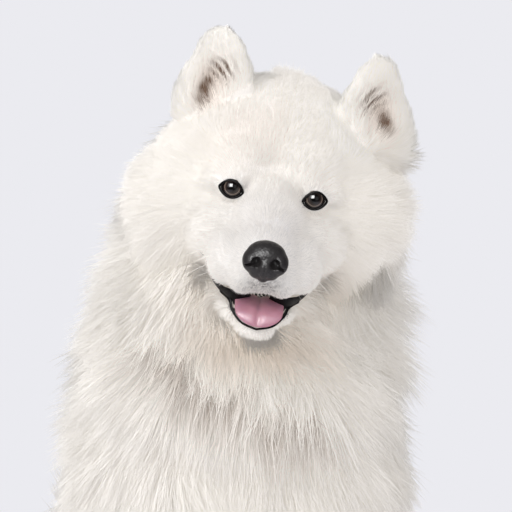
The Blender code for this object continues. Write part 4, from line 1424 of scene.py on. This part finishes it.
def bake_spots(at_root, shares, rings):
    """Each tuft's small patch of its piece's map, round the place of its root."""
    spots = np.empty((len(at_root), 3 * rings + 1, 2))
    for k in range(3):
        spots[:, k : 3 * rings : 3, 0] = at_root[:, :1] + (k - 1) * BAKE_PATCH / 2
        spots[:, k : 3 * rings : 3, 1] = at_root[:, 1:] + (shares[:rings] - 0.5) * BAKE_PATCH
    spots[:, -1] = at_root + np.array((0, BAKE_PATCH / 2))
    return np.clip(spots, 0, 1)


def grow_tufts(region, seed):
    """Grows one region's tufts as one finished piece."""
    count, rings, width, spacing, pull = TUFTS[kind_of(region)]
    draw = np.random.default_rng(seed)
    which, bary, area = spread_roots(region, count, draw)
    tri = triangles[which]
    roots, number = within(skin_points, tri, bary), within(numbers, tri, bary)
    outs, lie = unit(within(normals, tri, bary)), within(lies, tri, bary)
    at_root = (unwrapped[which] * bary[..., None]).sum(axis=1)
    loose = 0.12 + 0.1 * np.clip(number[:, 0] / LONG, 0, 1)
    lie = unit(lie + np.cross(lie, outs) * (draw.normal(0, 1, count) * loose)[:, None])
    length, lift, flyaway = lengths_and_lifts(number, roots, draw)
    shares = np.append(np.arange(rings) * 0.85 / rings, 1.0)
    line = curved(roots, outs, lie, length, lift, shares)
    locks = draw.choice(count, max(2, int(area / (spacing * MM) ** 2)), replace=False)
    line = in_locks(line, roots, locks, pull, flyaway, shares, draw)
    keep = ~kept_bare(line[:, -1], 1.5) & ~kept_bare(line[:, rings // 2], 1.5)
    line, outs, at_root, roots, length = (x[keep] for x in (line, outs, at_root, roots, length))
    line[..., 2] = np.maximum(line[..., 2], HAIR_RISE)
    count, stride = len(line), 3 * rings + 1
    spin = draw.uniform(0, 2 * np.pi, count)
    slim = width * MM * 0.5 * draw.uniform(0.6, 1.3, count)
    slim = slim * np.clip(length / (number[keep, 0].mean() * MM), 0.5, 1.15)
    points = solid_points(line, outs, slim, spin, rings)
    corners_of = (solid_faces(rings)[None] + (np.arange(count) * stride)[:, None, None]).reshape(-1)
    mesh = bpy.data.meshes.new(f"coat_{region}")
    mesh.vertices.add(count * stride)
    mesh.vertices.foreach_set("co", points.ravel())
    mesh.loops.add(len(corners_of))
    mesh.loops.foreach_set("vertex_index", corners_of)
    mesh.polygons.add(len(corners_of) // 3)
    mesh.polygons.foreach_set("loop_start", np.arange(0, len(corners_of), 3))
    mesh.update(calc_edges=True)
    mesh.shade_smooth()
    paint(mesh, np.minimum(tuft_colours(roots, shares, rings, draw), 1).reshape(-1, 3))
    mesh.normals_split_custom_set_from_vertices(np.repeat(outs, stride, axis=0))
    layer = mesh.uv_layers.new(name="OFBake")
    spots = bake_spots(at_root, shares, rings)
    layer.data.foreach_set("uv", spots.reshape(-1, 2)[corners_of].ravel())
    mesh.materials.append(ear_hair if region.startswith("ear") else hair)
    made = linked(f"coat_{region}", mesh)
    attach(made, "root")


for number_of, region in enumerate(REGIONS):
    grow_tufts(region, 100 + number_of)


# Claws and whiskers: curved spikes set on points. Claws are dark horn that grows from each
# toe; whiskers are stiff white bristles in three rows on each side of the muzzle.


def spike_tree():
    """Nodes that set one tapered, bent spike on each point, along that point's own aim."""
    tree = bpy.data.node_groups.new("tapered spikes", "GeometryNodeTree")
    tree.interface.new_socket("Points", in_out="INPUT", socket_type="NodeSocketGeometry")
    for name, kind in (
        ("Thickness", "NodeSocketFloat"),
        ("Bend", "NodeSocketFloat"),
        ("Spread", "NodeSocketFloat"),
        ("Seed", "NodeSocketInt"),
        ("Material", "NodeSocketMaterial"),
    ):
        tree.interface.new_socket(name, in_out="INPUT", socket_type=kind)
    tree.interface.new_socket("Spikes", in_out="OUTPUT", socket_type="NodeSocketGeometry")
    given = add_node(tree, "NodeGroupInput").outputs
    cone = add_node(
        tree,
        "GeometryNodeMeshCone",
        {"Vertices": 8, "Side Segments": 8, "Radius Top": 0.02, "Radius Bottom": 1.0, "Depth": 1.0},
    )
    slim = add_node(
        tree, "ShaderNodeCombineXYZ", {0: given["Thickness"], 1: given["Thickness"], 2: 1.0}
    )
    thin = add_node(
        tree, "GeometryNodeTransform", {"Geometry": cone.outputs["Mesh"], "Scale": slim.outputs[0]}
    )
    here = add_node(tree, "GeometryNodeInputPosition")
    parts = add_node(tree, "ShaderNodeSeparateXYZ", {0: here.outputs[0]})
    square = add_math(tree, "MULTIPLY", parts.outputs["Z"], parts.outputs["Z"])
    lean = add_math(tree, "MULTIPLY", square, given["Bend"])
    shift = add_node(tree, "ShaderNodeCombineXYZ", {0: lean})
    bent = add_node(
        tree, "GeometryNodeSetPosition", {"Geometry": thin.outputs[0], "Offset": shift.outputs[0]}
    )
    spots = add_node(tree, "GeometryNodeMeshToPoints", {"Mesh": given["Points"]})
    aim = add_node(
        tree, "GeometryNodeInputNamedAttribute", {"Name": "aim"}, data_type="FLOAT_VECTOR"
    )
    size = add_node(tree, "GeometryNodeInputNamedAttribute", {"Name": "size"}, data_type="FLOAT")
    sag = add_node(
        tree, "FunctionNodeAlignRotationToVector", {"Vector": (0.0, 0.0, -1.0)}, axis="X"
    )
    along = add_node(
        tree,
        "FunctionNodeAlignRotationToVector",
        {"Rotation": sag.outputs[0], "Vector": aim.outputs["Attribute"]},
        axis="Z",
    )
    least = add_math(tree, "SUBTRACT", 1.0, given["Spread"])
    chance = add_node(
        tree,
        "FunctionNodeRandomValue",
        {2: least, 3: 1.0, "Seed": given["Seed"]},
        data_type="FLOAT",
    )
    length = add_math(tree, "MULTIPLY", size.outputs["Attribute"], chance.outputs[1])
    placed = add_node(
        tree,
        "GeometryNodeInstanceOnPoints",
        {
            "Points": spots.outputs[0],
            "Instance": bent.outputs[0],
            "Rotation": along.outputs[0],
            "Scale": length,
        },
    )
    whole = add_node(tree, "GeometryNodeRealizeInstances", {0: placed.outputs[0]})
    smooth = add_node(tree, "GeometryNodeSetShadeSmooth", {0: whole.outputs[0]})
    coloured = add_node(
        tree, "GeometryNodeSetMaterial", {0: smooth.outputs[0], "Material": given["Material"]}
    )
    add_node(tree, "NodeGroupOutput", {0: coloured.outputs[0]})
    return tree


SPIKES = spike_tree()


def set_spikes(name, spots, aims, sizes, slot, **settings):
    """One piece of spikes on these spots, with the tree's named inputs set."""
    mesh = bpy.data.meshes.new(name)
    mesh.from_pydata([tuple(spot) for spot in spots], [], [])
    mesh.attributes.new("aim", "FLOAT_VECTOR", "POINT").data.foreach_set("vector", np.ravel(aims))
    mesh.attributes.new("size", "FLOAT", "POINT").data.foreach_set("value", sizes)
    made = linked(name, mesh)
    modifier = made.modifiers.new("spikes", "NODES")
    modifier.node_group = SPIKES
    for item in SPIKES.interface.items_tree:
        if item.in_out == "INPUT" and item.name in settings:
            modifier[item.identifier] = settings[item.name]
    applied(made)
    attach(made, "root")
    return made


# Claw horn: dark grey keratin, dull from wear.
horn, _, _ = new_material("worn_claw_horn", "#3A3330", 0.45, Specular_IOR_Level=0.4)
for word, side in SIDES:
    for part, foot, rest in (("forepaw", FOREPAW, 12), ("hind_foot", HIND_PAW, 10)):
        centres = toes(foot, side)
        spots = [centre + Vector((0, -rest, -1)) * MM for centre in centres]
        aims = [Vector((0, -0.85, -0.5)).normalized()] * len(spots)
        set_spikes(
            f"claws_{part}_{word}",
            spots,
            aims,
            [15 * MM] * len(spots),
            "claw_horn",
            Thickness=0.2,
            Bend=0.3,
            Spread=0.12,
            Seed=4,
            Material=horn,
        )

# Whiskers: white bristles, smooth and a little shiny.
bristle, _, _ = new_material("white_whisker_bristle", "#F4F0E8", 0.35, Specular_IOR_Level=0.5)
for word, side in SIDES:
    spots, aims, sizes = [], [], []
    for row in range(3):
        for place in range(4):
            back = 62 - 11 * place - 3 * row
            spots.append(HEAD @ (Vector((side * (22 + 4.5 * place), -back, -42 - 7 * row)) * MM))
            aim = Vector((side * (0.8 + 0.1 * place), -0.35 + 0.2 * place, -0.35 - 0.12 * row))
            aims.append((HEAD_TURNED.to_3x3() @ aim).normalized())
            sizes.append((24 + 7 * place) * MM)
    set_spikes(
        f"whiskers_{word}",
        spots,
        aims,
        sizes,
        "white_coat",
        Thickness=0.0085,
        Bend=0.22,
        Spread=0.3,
        Seed=11,
        Material=bristle,
    )
